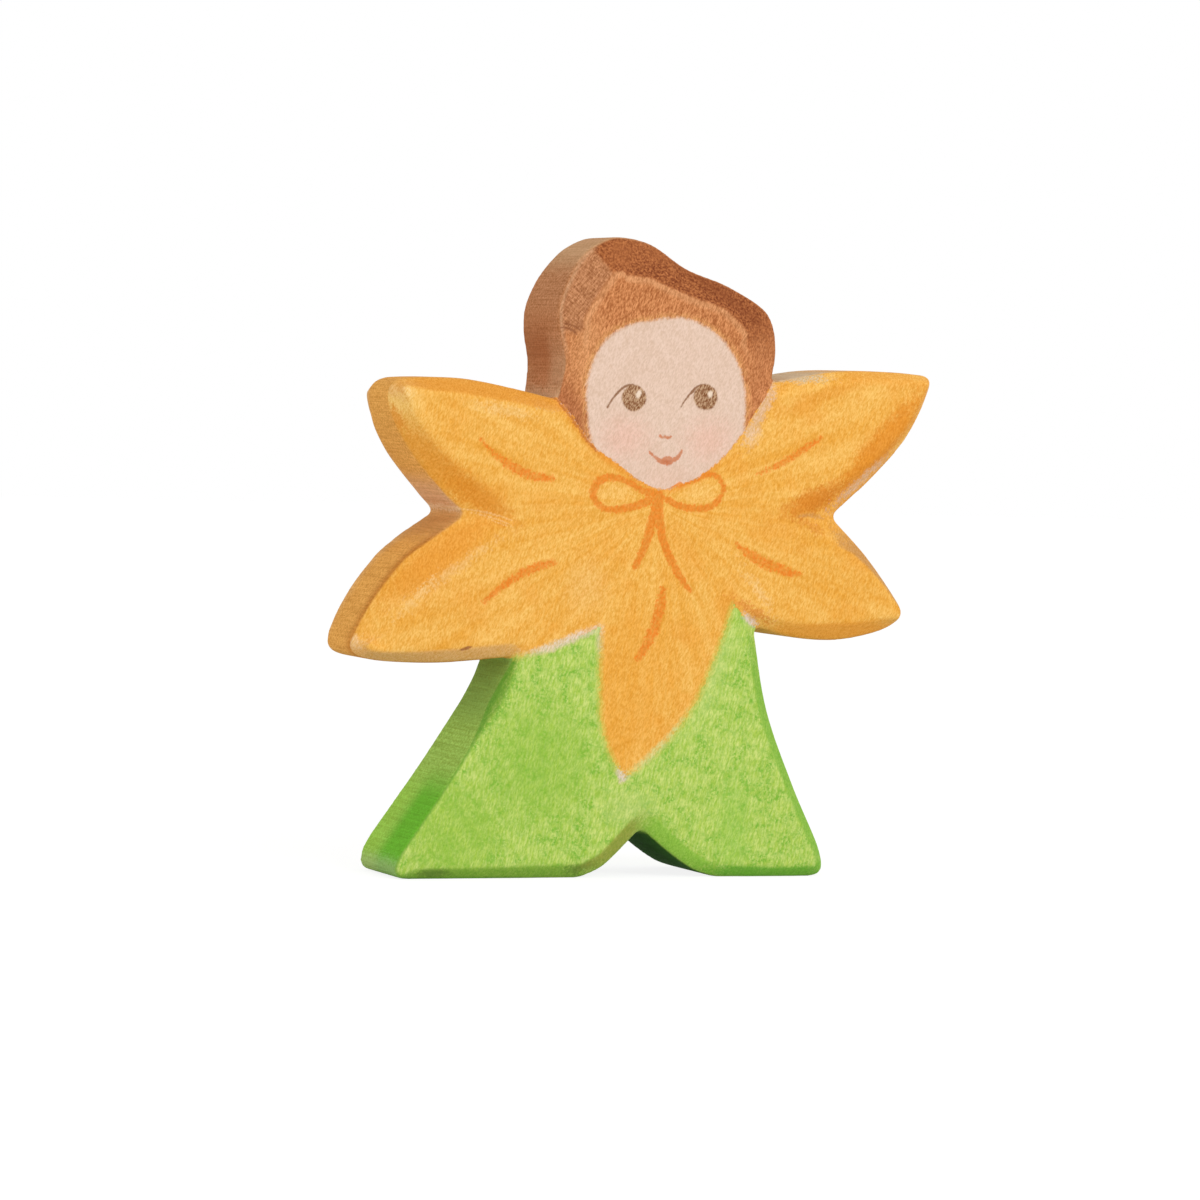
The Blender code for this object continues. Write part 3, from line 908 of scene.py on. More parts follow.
class Tree:
    """A node tree under construction."""

    def __init__(self, tree: bpy.types.NodeTree) -> None:
        """Keeps the tree that nodes are added to."""
        self.tree = tree

    def node(
        self, kind: str, settings: dict, inputs: Union[list, dict], output: Union[int, str] = 0
    ) -> Wire:
        """Adds a node.

        Args:
            kind: the node's type.
            settings: its own settings, which are set first.
            inputs: values or wires for its sockets, in order or by name or number.
            output: which output is wanted.

        Returns:
            That output.
        """
        node = self.tree.nodes.new(kind)
        for key, value in settings.items():
            setattr(node, key, value)
        for key, value in inputs.items() if isinstance(inputs, dict) else enumerate(inputs):
            self._give(node.inputs[key], value)
        return Wire(self, node.outputs[output])

    def _give(self, socket: bpy.types.NodeSocket, value: Input) -> None:
        """Links a wire to a socket, or sets the socket's own value.

        Args:
            socket: the socket.
            value: the wire or the value.
        """
        if isinstance(value, Wire):
            self.tree.links.new(value.socket, socket)
        else:
            socket.default_value = value

    def plug(self, value: Input, name: str, key: Union[int, str]) -> None:
        """Gives a wire or a value to a socket of a node that the tree came with."""
        self._give(self.tree.nodes[name].inputs[key], value)

    def seen(self) -> Wire:
        """Tells what is looked at from light on its way.

        Returns:
            1 for what the camera sees, straight, mirrored or through glass, and 0 otherwise.
        """
        camera, mirrored, through = (
            self.node("ShaderNodeLightPath", {}, [], f"Is {ray} Ray")
            for ray in ("Camera", "Glossy", "Transmission")
        )
        return camera.most(mirrored).most(through)


class Bench(Tree):
    """A painted material's node tree."""

    def __init__(self, name: str) -> None:
        """Starts a material.

        Args:
            name: its name.
        """
        self.material = bpy.data.materials.new(name)
        self.material.use_nodes = True
        super().__init__(self.material.node_tree)
        self.plug(DULL_SHEEN, "Principled BSDF", "Specular IOR Level")
        metres = self.node("ShaderNodeTexCoord", {}, [], "Object")
        scaled = {"Vector": metres, "Scale": 1 / MM}
        self.place = self.node("ShaderNodeVectorMath", {"operation": "SCALE"}, scaled)
        self.x, self.y, self.z = self.split(self.place)
        self.flat = self.node("ShaderNodeCombineXYZ", {}, [self.x, self.z])

    def split(self, vector: Wire) -> list[Wire]:
        """A vector's three parts."""
        parts = self.node("ShaderNodeSeparateXYZ", {}, [vector]).socket.node.outputs
        return [Wire(self, socket) for socket in parts]

    def field(self, name: str) -> Wire:
        """A number that is written on the piece's points."""
        return self.node("ShaderNodeAttribute", {"attribute_name": name}, [], "Fac")

    def stretched(self, across: float, deep: float, up: float, turn: float = 0.0) -> Wire:
        """Coordinates scaled along each axis after a turn in the plane of the board's face.

        Args:
            across: scale along x.
            deep: scale along y.
            up: scale along z.
            turn: the turn in degrees.

        Returns:
            The coordinates, for a noise.
        """
        lean = {"Vector": self.place, "Rotation": (0.0, math.radians(turn), 0.0)}
        vector = self.node("ShaderNodeMapping", {}, lean) if turn else self.place
        return self.node("ShaderNodeMapping", {}, {"Vector": vector, "Scale": (across, deep, up)})

    def polar(self, x: float, z: float, around: float, out: float) -> Wire:
        """Coordinates round a point of the board's face, for streaks that run out from it.

        Args:
            x: the point's place across.
            z: the point's place up.
            around: scale of the bearing, in radians.
            out: scale of the distance.

        Returns:
            The coordinates, for a noise.
        """
        offset = self.vector("SUBTRACT", self.flat, (x, z, 0.0))
        across, up, _ = self.split(offset)
        bearing = self.node("ShaderNodeMath", {"operation": "ARCTAN2"}, [across, up]) * around
        distance = self.vector("LENGTH", offset, output="Value") * out
        return self.node("ShaderNodeCombineXYZ", {}, [bearing, distance, self.y * STREAKS_THROUGH])

    def noise(self, vector: Wire, scale: float = 1.0, detail: float = 2.0, rough: float = 0.5) -> Wire:
        """Soft noise from 0 to 1 around 0.5."""
        inputs = {"Vector": vector, "Scale": scale, "Detail": detail, "Roughness": rough}
        return self.node("ShaderNodeTexNoise", {"noise_dimensions": "3D"}, inputs, "Fac")

    def mix(self, share: Input, low: Input, high: Input) -> Wire:
        """A mix of two colours, with the given share of the second."""
        settings = {"data_type": "RGBA", "clamp_factor": True}
        return self.node("ShaderNodeMix", settings, {0: share, 6: low, 7: high}, 2)

    def vector(self, operation: str, *values: Input, output: Union[int, str] = 0) -> Wire:
        """A Vector Math node over values."""
        return self.node("ShaderNodeVectorMath", {"operation": operation}, list(values), output)

    def finish(self, colour: Wire, height: Wire, distance: float) -> bpy.types.Material:
        """Links the colour and the relief to the shader.

        Args:
            colour: the base colour.
            height: the relief from 0 to 1.
            distance: its height in millimetres.

        Returns:
            The finished material.
        """
        inputs = {"Strength": 1.0, "Distance": distance * MM, "Height": height}
        bump = self.node("ShaderNodeBump", {}, inputs)
        self.plug(colour, "Principled BSDF", "Base Color")
        self.plug(bump, "Principled BSDF", "Normal")
        return self.material


@dataclass(frozen=True)
class Stroke:
    """One pull of a small round brush along an arc.

    widths holds the half widths at its start, middle and end, and bulge is to the right of its way.
    """

    start: tuple[float, float]
    end: tuple[float, float]
    bulge: float
    widths: tuple[float, float, float]

    def mask(self, bench: Bench, ragged: Wire, soft: float) -> Wire:
        """Where the stroke has left paint.

        Args:
            bench: the material.
            ragged: noise around 0 in millimetres that frays its edges.
            soft: how far its edges fade.

        Returns:
            1 inside the stroke and 0 outside.
        """
        first, last = Vector(self.start), Vector(self.end)
        chord = last - first
        bulge = self.bulge if abs(self.bulge) > LEAST_BULGE else LEAST_BULGE
        radius = (chord.length_squared / 4 + bulge**2) / (2 * abs(bulge))
        towards = outward(chord) * math.copysign(1.0, bulge)
        centre = (first + last) / 2 + towards * (abs(bulge) - radius)
        half_turn = math.asin(min(1.0, chord.length / 2 / radius))
        if abs(bulge) > radius:
            half_turn = math.pi - half_turn
        ahead = chord.normalized()
        offset = bench.vector("SUBTRACT", bench.flat, (centre.x, centre.y, 0.0))
        along = bench.vector("DOT_PRODUCT", offset, (ahead.x, ahead.y, 0.0), output="Value")
        out = bench.vector("DOT_PRODUCT", offset, (towards.x, towards.y, 0.0), output="Value")
        gap = bench.vector("LENGTH", offset, output="Value") - radius
        turn = bench.node("ShaderNodeMath", {"operation": "ARCTAN2"}, [along, out]) / half_turn
        past = (abs(turn) - 1.0).most(0.0) * (radius * half_turn)
        begin, middle, finish = self.widths
        held = bench.node("ShaderNodeClamp", {}, [turn, -1.0, 1.0])
        width = (held * ((begin + finish) / 2 - middle) + (finish - begin) / 2) * held + middle
        aside = bench.node("ShaderNodeCombineXYZ", {}, [gap, past])
        distance = bench.vector("LENGTH", aside, output="Value")
        return (width - distance + ragged).rise(-soft, soft)


@dataclass(frozen=True)
class Blot:
    """A round touch of the brush: its middle, its half sizes and how far it leans, in degrees."""

    middle: tuple[float, float]
    size: tuple[float, float]
    lean: float = 0.0

    def mask(self, bench: Bench, ragged: Wire, soft: float) -> Wire:
        """Where the blot has left paint.

        Args:
            bench: the material.
            ragged: noise around 0 in millimetres that frays its edge.
            soft: how far its edge fades.

        Returns:
            1 inside the blot and 0 outside.
        """
        inputs = {
            "Vector": bench.flat,
            "Location": (*self.middle, 0.0),
            "Rotation": (0.0, 0.0, math.radians(self.lean)),
            "Scale": (*self.size, 1.0),
        }
        inner = bench.node("ShaderNodeMapping", {"vector_type": "TEXTURE"}, inputs)
        reach = (1.0 - bench.vector("LENGTH", inner, output="Value")) * min(self.size) + ragged
        return reach.rise(-soft, soft)


def pull(*stops: tuple[float, float, float]) -> list[Stroke]:
    """The strokes of one pull of the brush.

    Args:
        stops: x, z and half width at an odd number of places, two more for each arc.

    Returns:
        One stroke for each arc, end to end.
    """
    strokes = []
    for first, middle, last in zip(stops[::2], stops[1::2], stops[2::2]):
        chord = Vector(last[:2]) - Vector(first[:2])
        bulge = (Vector(middle[:2]) - (Vector(first[:2]) + Vector(last[:2])) / 2).dot(outward(chord))
        strokes.append(Stroke(first[:2], last[:2], bulge, (first[2], middle[2], last[2])))
    return strokes


@dataclass(frozen=True)
class Patch:
    """A soft patch where a glaze lies thinner, thicker or in another colour.

    deep holds the y where it begins and the y where it is full, for a patch that takes only a part of the
    board's thickness.
    """

    mark: Union[Stroke, Blot]
    soft: float
    colour: tuple[float, float, float, float]
    share: float
    deep: tuple = ()

    def laid(self, bench: Bench, under: Wire, ragged: Wire, within: Input = 1.0) -> Wire:
        """Lays the patch over a colour.

        Args:
            bench: the material.
            under: the colour under it.
            ragged: noise that frays its edge.
            within: where it may lie, from 0 to 1.

        Returns:
            The colour with the patch.
        """
        mask = self.mark.mask(bench, ragged, self.soft) * self.share * within
        if self.deep:
            mask = mask * bench.y.rise(*self.deep)
        return bench.mix(mask, under, self.colour)


def patches(*rows: tuple) -> list[Patch]:
    """Patches from a table.

    Args:
        rows: for each patch the x and z of its middle, its half width and half height, its lean in degrees,
            its softness, its red, green and blue from 0 to 255, its strength, and the two depths if it
            takes only a part of the board's thickness.

    Returns:
        The patches in order.
    """
    made = []
    for x, z, wide, high, lean, soft, red, green, blue, share, *deep in rows:
        blot = Blot((x, z), (wide, high), lean)
        made.append(Patch(blot, soft, srgb(red, green, blue), share, tuple(deep)))
    return made


@dataclass(frozen=True)
class Marks:
    """Brush marks in one paint.

    share says how well they cover, soft how far their edges fade, and dry how much the grain frays and
    thins them, from 0 to 1.
    """

    paint: tuple[float, float, float, float]
    share: float
    soft: float
    dry: float
    brushed: list


@dataclass(frozen=True)
class Glaze:
    """A glaze: its colours, from 0 to 255, where it lies thick and where it lies thin."""

    thick: tuple[int, int, int]
    thin: tuple[int, int, int]

    def laid(self, bench: Bench, share: Wire) -> Wire:
        """The glaze's colour, with the given share of the thin one."""
        return bench.mix(share, srgb(*self.thick), srgb(*self.thin))


COMBED_HAIR = Glaze((178, 105, 57), (218, 145, 91))
DEEP_CROWN = Glaze((122, 57, 24), (188, 114, 64))
SCRATCHED_FACET = Glaze((150, 90, 50), (214, 150, 104))
HAIR_WALL = Glaze((172, 112, 68), (202, 142, 98))
SKIN = Glaze((229, 198, 176), (233, 203, 182))
IRIS = Glaze((136, 87, 54), (196, 158, 122))
GOLD = Glaze((237, 166, 60), (250, 194, 100))
GOLD_WALL = Glaze((220, 152, 66), (244, 180, 92))
GREEN = Glaze((174, 205, 82), (208, 225, 126))
GREEN_WALL = Glaze((146, 186, 74), (174, 210, 100))


class Paint:
    """The paints that are laid in one colour."""

    HAIR_LIP = srgb(226, 166, 116)
    HAIR_RIM = srgb(220, 172, 130)
    FRINGE = srgb(228, 168, 104)
    EYE_LIGHT = srgb(242, 218, 194)
    GOLD_SHADE = srgb(240, 163, 62)
    COLLAR = srgb(238, 148, 50)
    NECK_LINE = srgb(190, 108, 52)
    GOLD_OVER_NECK = srgb(238, 158, 60)
    HAIR_OVER_NECK = srgb(222, 170, 130)
    GREEN_SPECK = srgb(108, 176, 46)
    GREEN_EDGE = srgb(104, 164, 52)
    GREEN_OVER_HEM = srgb(170, 206, 94)
    GOLD_OVER_HEM = srgb(241, 172, 74)
    HEM_FRINGE = srgb(206, 196, 84)


HAIR_PATCHES = patches(
    (17.5, 71.5, 3.4, 6.5, 0, 2.5, 182, 118, 76, 0.3),
    (-12.8, 65.0, 2.2, 6.2, 28, 1.5, 170, 102, 64, 0.5),
    (-10.5, 73.0, 2.4, 5.0, -10, 1.5, 228, 164, 108, 0.4),
)
CROWN_PATCHES = patches(
    (2.5, 87.2, 5.0, 1.6, -12, 1.5, 180, 108, 60, 0.5),
    (-5.5, 86.8, 2.4, 2.0, 0, 1.5, 178, 106, 58, 0.45),
    (9.0, 82.6, 8.0, 0.9, -33, 0.9, 134, 68, 32, 0.5),
    (19.0, 75.5, 2.0, 4.0, 0, 2.0, 184, 112, 66, 0.45),
)
HAIR_SIDES = patches(
    (-20.0, 73.4, 9.0, 3.2, 0, 2.4, 164, 100, 58, 0.8, -5.0, -1.0),
    (-20.0, 70.4, 9.0, 4.4, 0, 2.4, 196, 156, 118, 0.7, 0.0, -4.0),
    (-13.0, 88.6, 9.0, 3.4, 0, 2.0, 206, 162, 118, 0.85),
    (-16.0, 67.0, 9.0, 1.0, 0, 0.8, 216, 174, 132, 0.7),
)
NICKS = Marks(srgb(140, 82, 48), share=0.75, soft=0.12, dry=0.3, brushed=[
    *pull((-14.25, 76.26, 0.1), (-13.2, 76.3, 0.14), (-11.9, 75.5, 0.1)),
    *pull((-13.5, 76.9, 0.08), (-12.5, 76.7, 0.12), (-11.5, 76.0, 0.08)),
])
FACE_PATCHES = patches(
    (-4.4, 61.2, 3.0, 2.5, 0, 2.4, 236, 190, 169, 0.7),
    (8.2, 61.3, 3.0, 2.5, 0, 2.4, 237, 192, 171, 0.7),
    (2.2, 55.8, 3.6, 1.8, 0, 2.2, 233, 195, 172, 0.6),
)
CAPE_PATCHES = patches(
    (-31.5, 56.8, 8.0, 1.9, -44, 1.2, 234, 154, 52, 0.75),
    (-25.4, 52.8, 5.5, 1.6, -38, 1.1, 229, 144, 42, 0.75),
    (-37.6, 65.8, 2.8, 2.4, 0, 1.4, 255, 208, 120, 0.7),
    (-38.1, 67.3, 1.8, 0.9, -20, 0.8, 250, 208, 142, 0.6),
    (-39.4, 63.6, 0.5, 1.8, 20, 0.4, 245, 210, 150, 0.7),
    (-37.6, 63.4, 0.8, 1.9, 35, 0.6, 232, 150, 54, 0.8),
    (-22.5, 64.8, 3.0, 0.6, -8, 0.6, 252, 210, 138, 0.5),
    (-31.6, 43.6, 8.5, 2.4, 38, 1.4, 234, 154, 54, 0.8),
    (-28.6, 43.0, 5.2, 0.6, 33, 0.5, 252, 208, 138, 0.4),
    (-34.4, 38.6, 2.8, 0.6, 44, 0.5, 252, 208, 136, 0.45),
    (-42.8, 32.4, 1.0, 1.0, 0, 0.6, 246, 206, 152, 0.7),
    (-9.5, 40.5, 2.8, 3.2, 0, 2.2, 248, 200, 122, 0.35),
    (-2.0, 26.0, 5.0, 12.0, -8, 2.5, 240, 164, 58, 0.35),
    (26.0, 68.2, 6.5, 0.8, 22, 0.9, 235, 157, 58, 0.6),
    (35.0, 70.7, 4.0, 0.8, -8, 0.8, 236, 160, 60, 0.5),
    (34.5, 60.7, 9.6, 2.0, 50, 1.0, 229, 140, 36, 0.8),
    (24.8, 53.3, 5.0, 1.5, 22, 0.9, 220, 130, 34, 0.85),
    (23.8, 49.9, 2.0, 0.6, -25, 0.5, 222, 138, 50, 0.6),
    (15.7, 37.5, 2.9, 0.65, -27, 0.4, 226, 142, 58, 0.8),
    (16.4, 40.4, 3.2, 0.5, -53, 0.5, 251, 209, 144, 0.4),
    (-16.5, 65.6, 2.2, 0.4, -14, 0.4, 224, 180, 122, 0.6),
    (-5.6, 53.7, 2.6, 1.2, 8, 0.8, 252, 200, 112, 0.5),
    (7.2, 54.0, 2.4, 1.2, -4, 0.8, 252, 200, 112, 0.5),
)
CAPE_SLOPES = patches(
    (-25.0, 66.9, 14.0, 2.4, -5, 1.0, 230, 153, 56, 0.85),
    (-31.0, 31.0, 14.0, 2.4, 2, 1.0, 226, 174, 108, 0.85),
    (34.0, 43.0, 7.5, 2.0, -48, 0.8, 199, 146, 85, 0.8),
    (28.5, 34.6, 11.0, 2.0, 3, 0.9, 240, 162, 62, 0.85),
)
CAPE_SIDES = patches(
    (-35.0, 38.0, 13.0, 12.5, 0, 3.0, 186, 110, 34, 0.8, -3.0, -7.0),
    (-35.0, 48.0, 20.0, 26.0, 0, 4.0, 224, 185, 136, 0.6, 2.0, 8.0),
    (-27.5, 53.4, 4.4, 3.4, 0, 2.2, 226, 178, 136, 0.8),
    (-29.0, 49.0, 3.4, 1.3, 30, 0.9, 210, 152, 88, 0.8),
    (-28.0, 51.0, 3.0, 0.35, 0, 0.3, 240, 204, 158, 0.8),
    (21.5, 71.0, 6.0, 2.0, 0, 1.5, 214, 196, 164, 0.85),
)
BARE_PATCHES = patches(
    (16.3, 66.0, 0.9, 4.4, -27, 0.45, 227, 185, 146, 0.8),
    (14.9, 62.4, 1.0, 1.8, -25, 0.7, 238, 196, 148, 0.6),
    (21.2, 70.8, 4.2, 0.9, -4, 0.5, 212, 190, 154, 0.85),
    (32.2, 56.1, 4.6, 0.55, 41, 0.45, 226, 188, 150, 0.75),
)
HEM_GAPS = patches(
    (-13.0, 33.5, 5.5, 3.0, 0, 1.5, 232, 210, 186, 0.75),
    (-3.6, 13.6, 1.2, 1.2, 0, 0.6, 224, 206, 188, 0.9),
    (15.8, 36.5, 1.5, 1.2, 0, 0.6, 224, 206, 188, 0.85),
    (1.5, 18.5, 5.0, 1.2, 50, 0.8, 222, 226, 160, 0.5),
)
DRESS_PATCHES = patches(
    (-15.5, 16.0, 7.0, 8.0, 0, 4.0, 146, 192, 62, 0.5),
    (-22.0, 25.6, 1.5, 5.2, -25, 0.9, 122, 178, 60, 0.8),
    (9.5, 30.0, 1.8, 6.0, -12, 1.8, 206, 222, 130, 0.6),
    (-28.0, 6.5, 6.5, 6.0, 0, 3.0, 154, 196, 66, 0.5),
    (-2.0, 9.5, 3.0, 2.0, 0, 2.0, 196, 214, 126, 0.5),
    (13.8, 7.0, 2.2, 6.0, 0, 2.0, 148, 198, 76, 0.5),
)
DRESS_SLOPES_AND_SHADE = patches(
    # The first four patches and the sixth are painted shade: darker green on the feet's bottom chamfers, at
    # their corners and on the arch's left slope.
    (-22.0, 0.4, 17.0, 2.6, 0, 1.0, 130, 174, 58, 0.85),
    (-30.5, 1.0, 2.2, 1.0, 0, 0.6, 106, 136, 52, 0.8),
    (-8.6, 1.8, 2.2, 1.0, 20, 0.7, 98, 124, 50, 0.7),
    (-4.5, 5.0, 5.0, 2.6, 38, 1.0, 156, 163, 67, 0.85),
    (6.0, 5.0, 6.0, 3.0, -38, 1.0, 154, 206, 75, 0.85),
    (20.0, 0.4, 10.0, 2.4, 0, 1.0, 112, 180, 54, 0.85),
    (23.0, 15.0, 3.0, 22.0, 26, 1.0, 132, 186, 62, 0.8),
)
DRESS_SIDES_AND_SHADE = patches(
    # Painted shadow of the lower left petal: greyer, darker green at the top of the dress's left wall.
    (-22.0, 28.0, 9.0, 6.4, 0, 3.0, 141, 177, 82, 0.85),
    (-32.0, 4.0, 12.0, 9.5, 0, 3.2, 102, 184, 38, 0.88, 3.6, -2.6),
    (-33.0, 4.0, 12.0, 9.5, 0, 3.2, 160, 214, 72, 0.6, -2.5, 4.0),
    (-37.0, 1.0, 3.0, 1.6, 0, 1.2, 172, 180, 134, 0.5),
    # Painted shade inside the arch between the feet: near-black green on its walls.
    (5.5, 3.0, 7.0, 4.5, 0, 1.0, 42, 84, 22, 1.0, -8.0, -6.4),
)
BOW = Marks(srgb(233, 128, 34), share=0.92, soft=0.14, dry=0.6, brushed=[
    *pull(
        (0.94, 53.51, 0.55), (-0.77, 53.82, 0.5), (-2.67, 54.65, 0.42), (-4.57, 55.55, 0.45),
        (-6.45, 55.86, 0.5), (-8.35, 54.95, 0.56), (-8.85, 53.2, 0.52), (-8.1, 52.1, 0.46),
        (-6.49, 51.35, 0.48), (-3.4, 51.7, 0.54), (-0.36, 52.79, 0.5),
    ),
    *pull(
        (4.09, 54.97, 0.42), (5.95, 55.78, 0.42), (7.82, 56.45, 0.42), (9.9, 56.1, 0.36), (10.72, 54.6, 0.36),
        (9.9, 52.9, 0.4), (7.6, 51.73, 0.46), (4.7, 51.95, 0.46), (2.28, 52.84, 0.46),
    ),
    *pull((0.58, 52.81, 0.5), (-0.22, 48.61, 0.64), (-2.2, 43.6, 0.48)),
    *pull((1.16, 52.47, 0.5), (1.35, 48.9, 0.6), (2.92, 44.83, 0.55), (4.4, 42.3, 0.5), (6.09, 40.34, 0.35)),
    Blot((1.0, 53.25), (1.0, 0.75)),
])
LOOP_ON_CHIN = Marks(srgb(238, 138, 44), share=0.95, soft=0.1, dry=0.2, brushed=[
    *pull((1.12, 53.52, 0.45), (2.61, 54.07, 0.42), (4.09, 54.97, 0.42)),
])
VEINS = Marks(srgb(234, 123, 28), share=0.9, soft=0.22, dry=0.9, brushed=[
    *pull((1.94, 40.28, 0.45), (1.15, 35.74, 0.76), (-1.5, 30.65, 0.4)),
    *pull(
        (12.89, 47.03, 0.16), (14.27, 45.89, 0.5), (16.21, 44.87, 0.72), (19.3, 43.55, 0.68),
        (22.81, 42.68, 0.3),
    ),
    *pull(
        (15.8, 56.8, 0.15), (17.69, 57.54, 0.3), (19.58, 58.46, 0.44), (22.8, 60.4, 0.4),
        (25.41, 62.12, 0.18),
    ),
    *pull(
        (-25.68, 60.66, 0.15), (-24.02, 59.05, 0.3), (-22.21, 57.72, 0.5), (-18.8, 56.05, 0.62),
        (-14.92, 55.53, 0.25),
    ),
    *pull((-24.53, 38.27, 0.3), (-20.2, 41.6, 0.55), (-14.54, 43.9, 0.48)),
])
SCRATCHES = Marks(srgb(246, 200, 134), share=0.5, soft=0.1, dry=0.35, brushed=[
    *pull((-28.2, 51.0, 0.06), (-24.6, 50.6, 0.13), (-20.8, 49.6, 0.05)),
    *pull((-26.4, 50.5, 0.05), (-23.6, 49.9, 0.1), (-20.9, 48.9, 0.05)),
    *pull((-24.4, 49.9, 0.04), (-22.4, 49.1, 0.09), (-20.6, 48.6, 0.04)),
])
# Painted shade: a darker stroke in the crease where the right petals' chamfers meet at their notch.
CREASE_SHADE = Marks(srgb(198, 142, 88), share=0.6, soft=0.25, dry=0.3, brushed=[
    *pull((22.2, 50.9, 0.1), (24.4, 51.1, 0.3), (26.6, 50.6, 0.1)),
])
KNOT = Marks(srgb(150, 84, 52), share=0.8, soft=0.12, dry=0.2, brushed=[
    *pull((-27.8, 31.6, 0.06), (-26.9, 31.85, 0.2), (-26.1, 32.1, 0.06)),
])
LIDS = Marks(srgb(136, 88, 50), share=0.9, soft=0.1, dry=0.12, brushed=[
    *pull(
        (-7.14, 65.48, 0.1), (-6.22, 66.96, 0.14), (-5.06, 68.17, 0.16), (-4.33, 68.56, 0.16),
        (-3.43, 68.73, 0.1),
    ),
    *pull(
        (3.88, 65.84, 0.1), (4.6, 66.98, 0.14), (5.62, 68.12, 0.18), (6.35, 68.77, 0.16), (7.25, 69.0, 0.1),
    ),
])
IRISES = [Blot((-3.22, 66.9), (1.8, 1.84)), Blot((7.53, 67.3), (1.78, 1.8))]
LIGHTS = [Blot((-2.55, 67.45), (0.34, 0.62), -28), Blot((8.25, 67.75), (0.36, 0.46), -15)]
MOUTH = Marks(srgb(206, 122, 76), share=0.9, soft=0.12, dry=0.25, brushed=[
    *pull((0.85, 61.8, 0.14), (1.2, 61.55, 0.18), (1.6, 61.72, 0.14), (2.0, 61.5, 0.19), (2.52, 61.7, 0.12)),
    *pull((-0.65, 59.53, 0.12), (0.3, 58.68, 0.22), (1.2, 58.2, 0.36)),
    *pull((3.0, 58.45, 0.34), (3.75, 59.0, 0.24), (4.23, 59.79, 0.14)),
    Blot((2.05, 58.3), (1.05, 0.62)),
])
LIPS = Marks(srgb(190, 100, 58), share=0.5, soft=0.25, dry=0.3, brushed=[
    Blot((2.1, 58.2), (0.6, 0.3)), Blot((2.3, 57.85), (0.3, 0.25)),
])


class Zone(Enum):
    """The painter's four fields."""

    HAIR = "hair"
    FACE = "face"
    CAPE = "petal_cape"
    DRESS = "dress"


@dataclass(frozen=True)
class Grain:
    """How strongly a zone's glaze lets the wood show.

    pooled and worn hold the shares of red, green and blue that are left where the glaze has run into the
    hollows of the grain and where it is rubbed off their ridges; relief is the grain's height in millimetres.
    """

    pooled: tuple[float, float, float]
    worn: tuple[float, float, float]
    relief: float

    def tint(self, bench: Bench, height: Wire) -> Wire:
        """What the grain, of a given height from 0 to 1, leaves of red, green and blue."""
        return bench.mix(height.rise(0.25, 0.75), self.pooled + (1.0,), self.worn + (1.0,))


SAWN = Grain(pooled=(0.82, 0.78, 0.7), worn=(1.18, 1.22, 1.32), relief=0.06)
HAIR_WOOD = Grain(pooled=(0.81, 0.76, 0.67), worn=(1.19, 1.25, 1.36), relief=0.05)
FACE_WOOD = Grain(pooled=(0.91, 0.89, 0.85), worn=(1.08, 1.1, 1.14), relief=0.04)
CAPE_WOOD = Grain(pooled=(0.89, 0.82, 0.58), worn=(1.1, 1.19, 1.46), relief=0.045)
DRESS_WOOD = Grain(pooled=(0.73, 0.86, 0.68), worn=(1.21, 1.11, 1.28), relief=0.05)


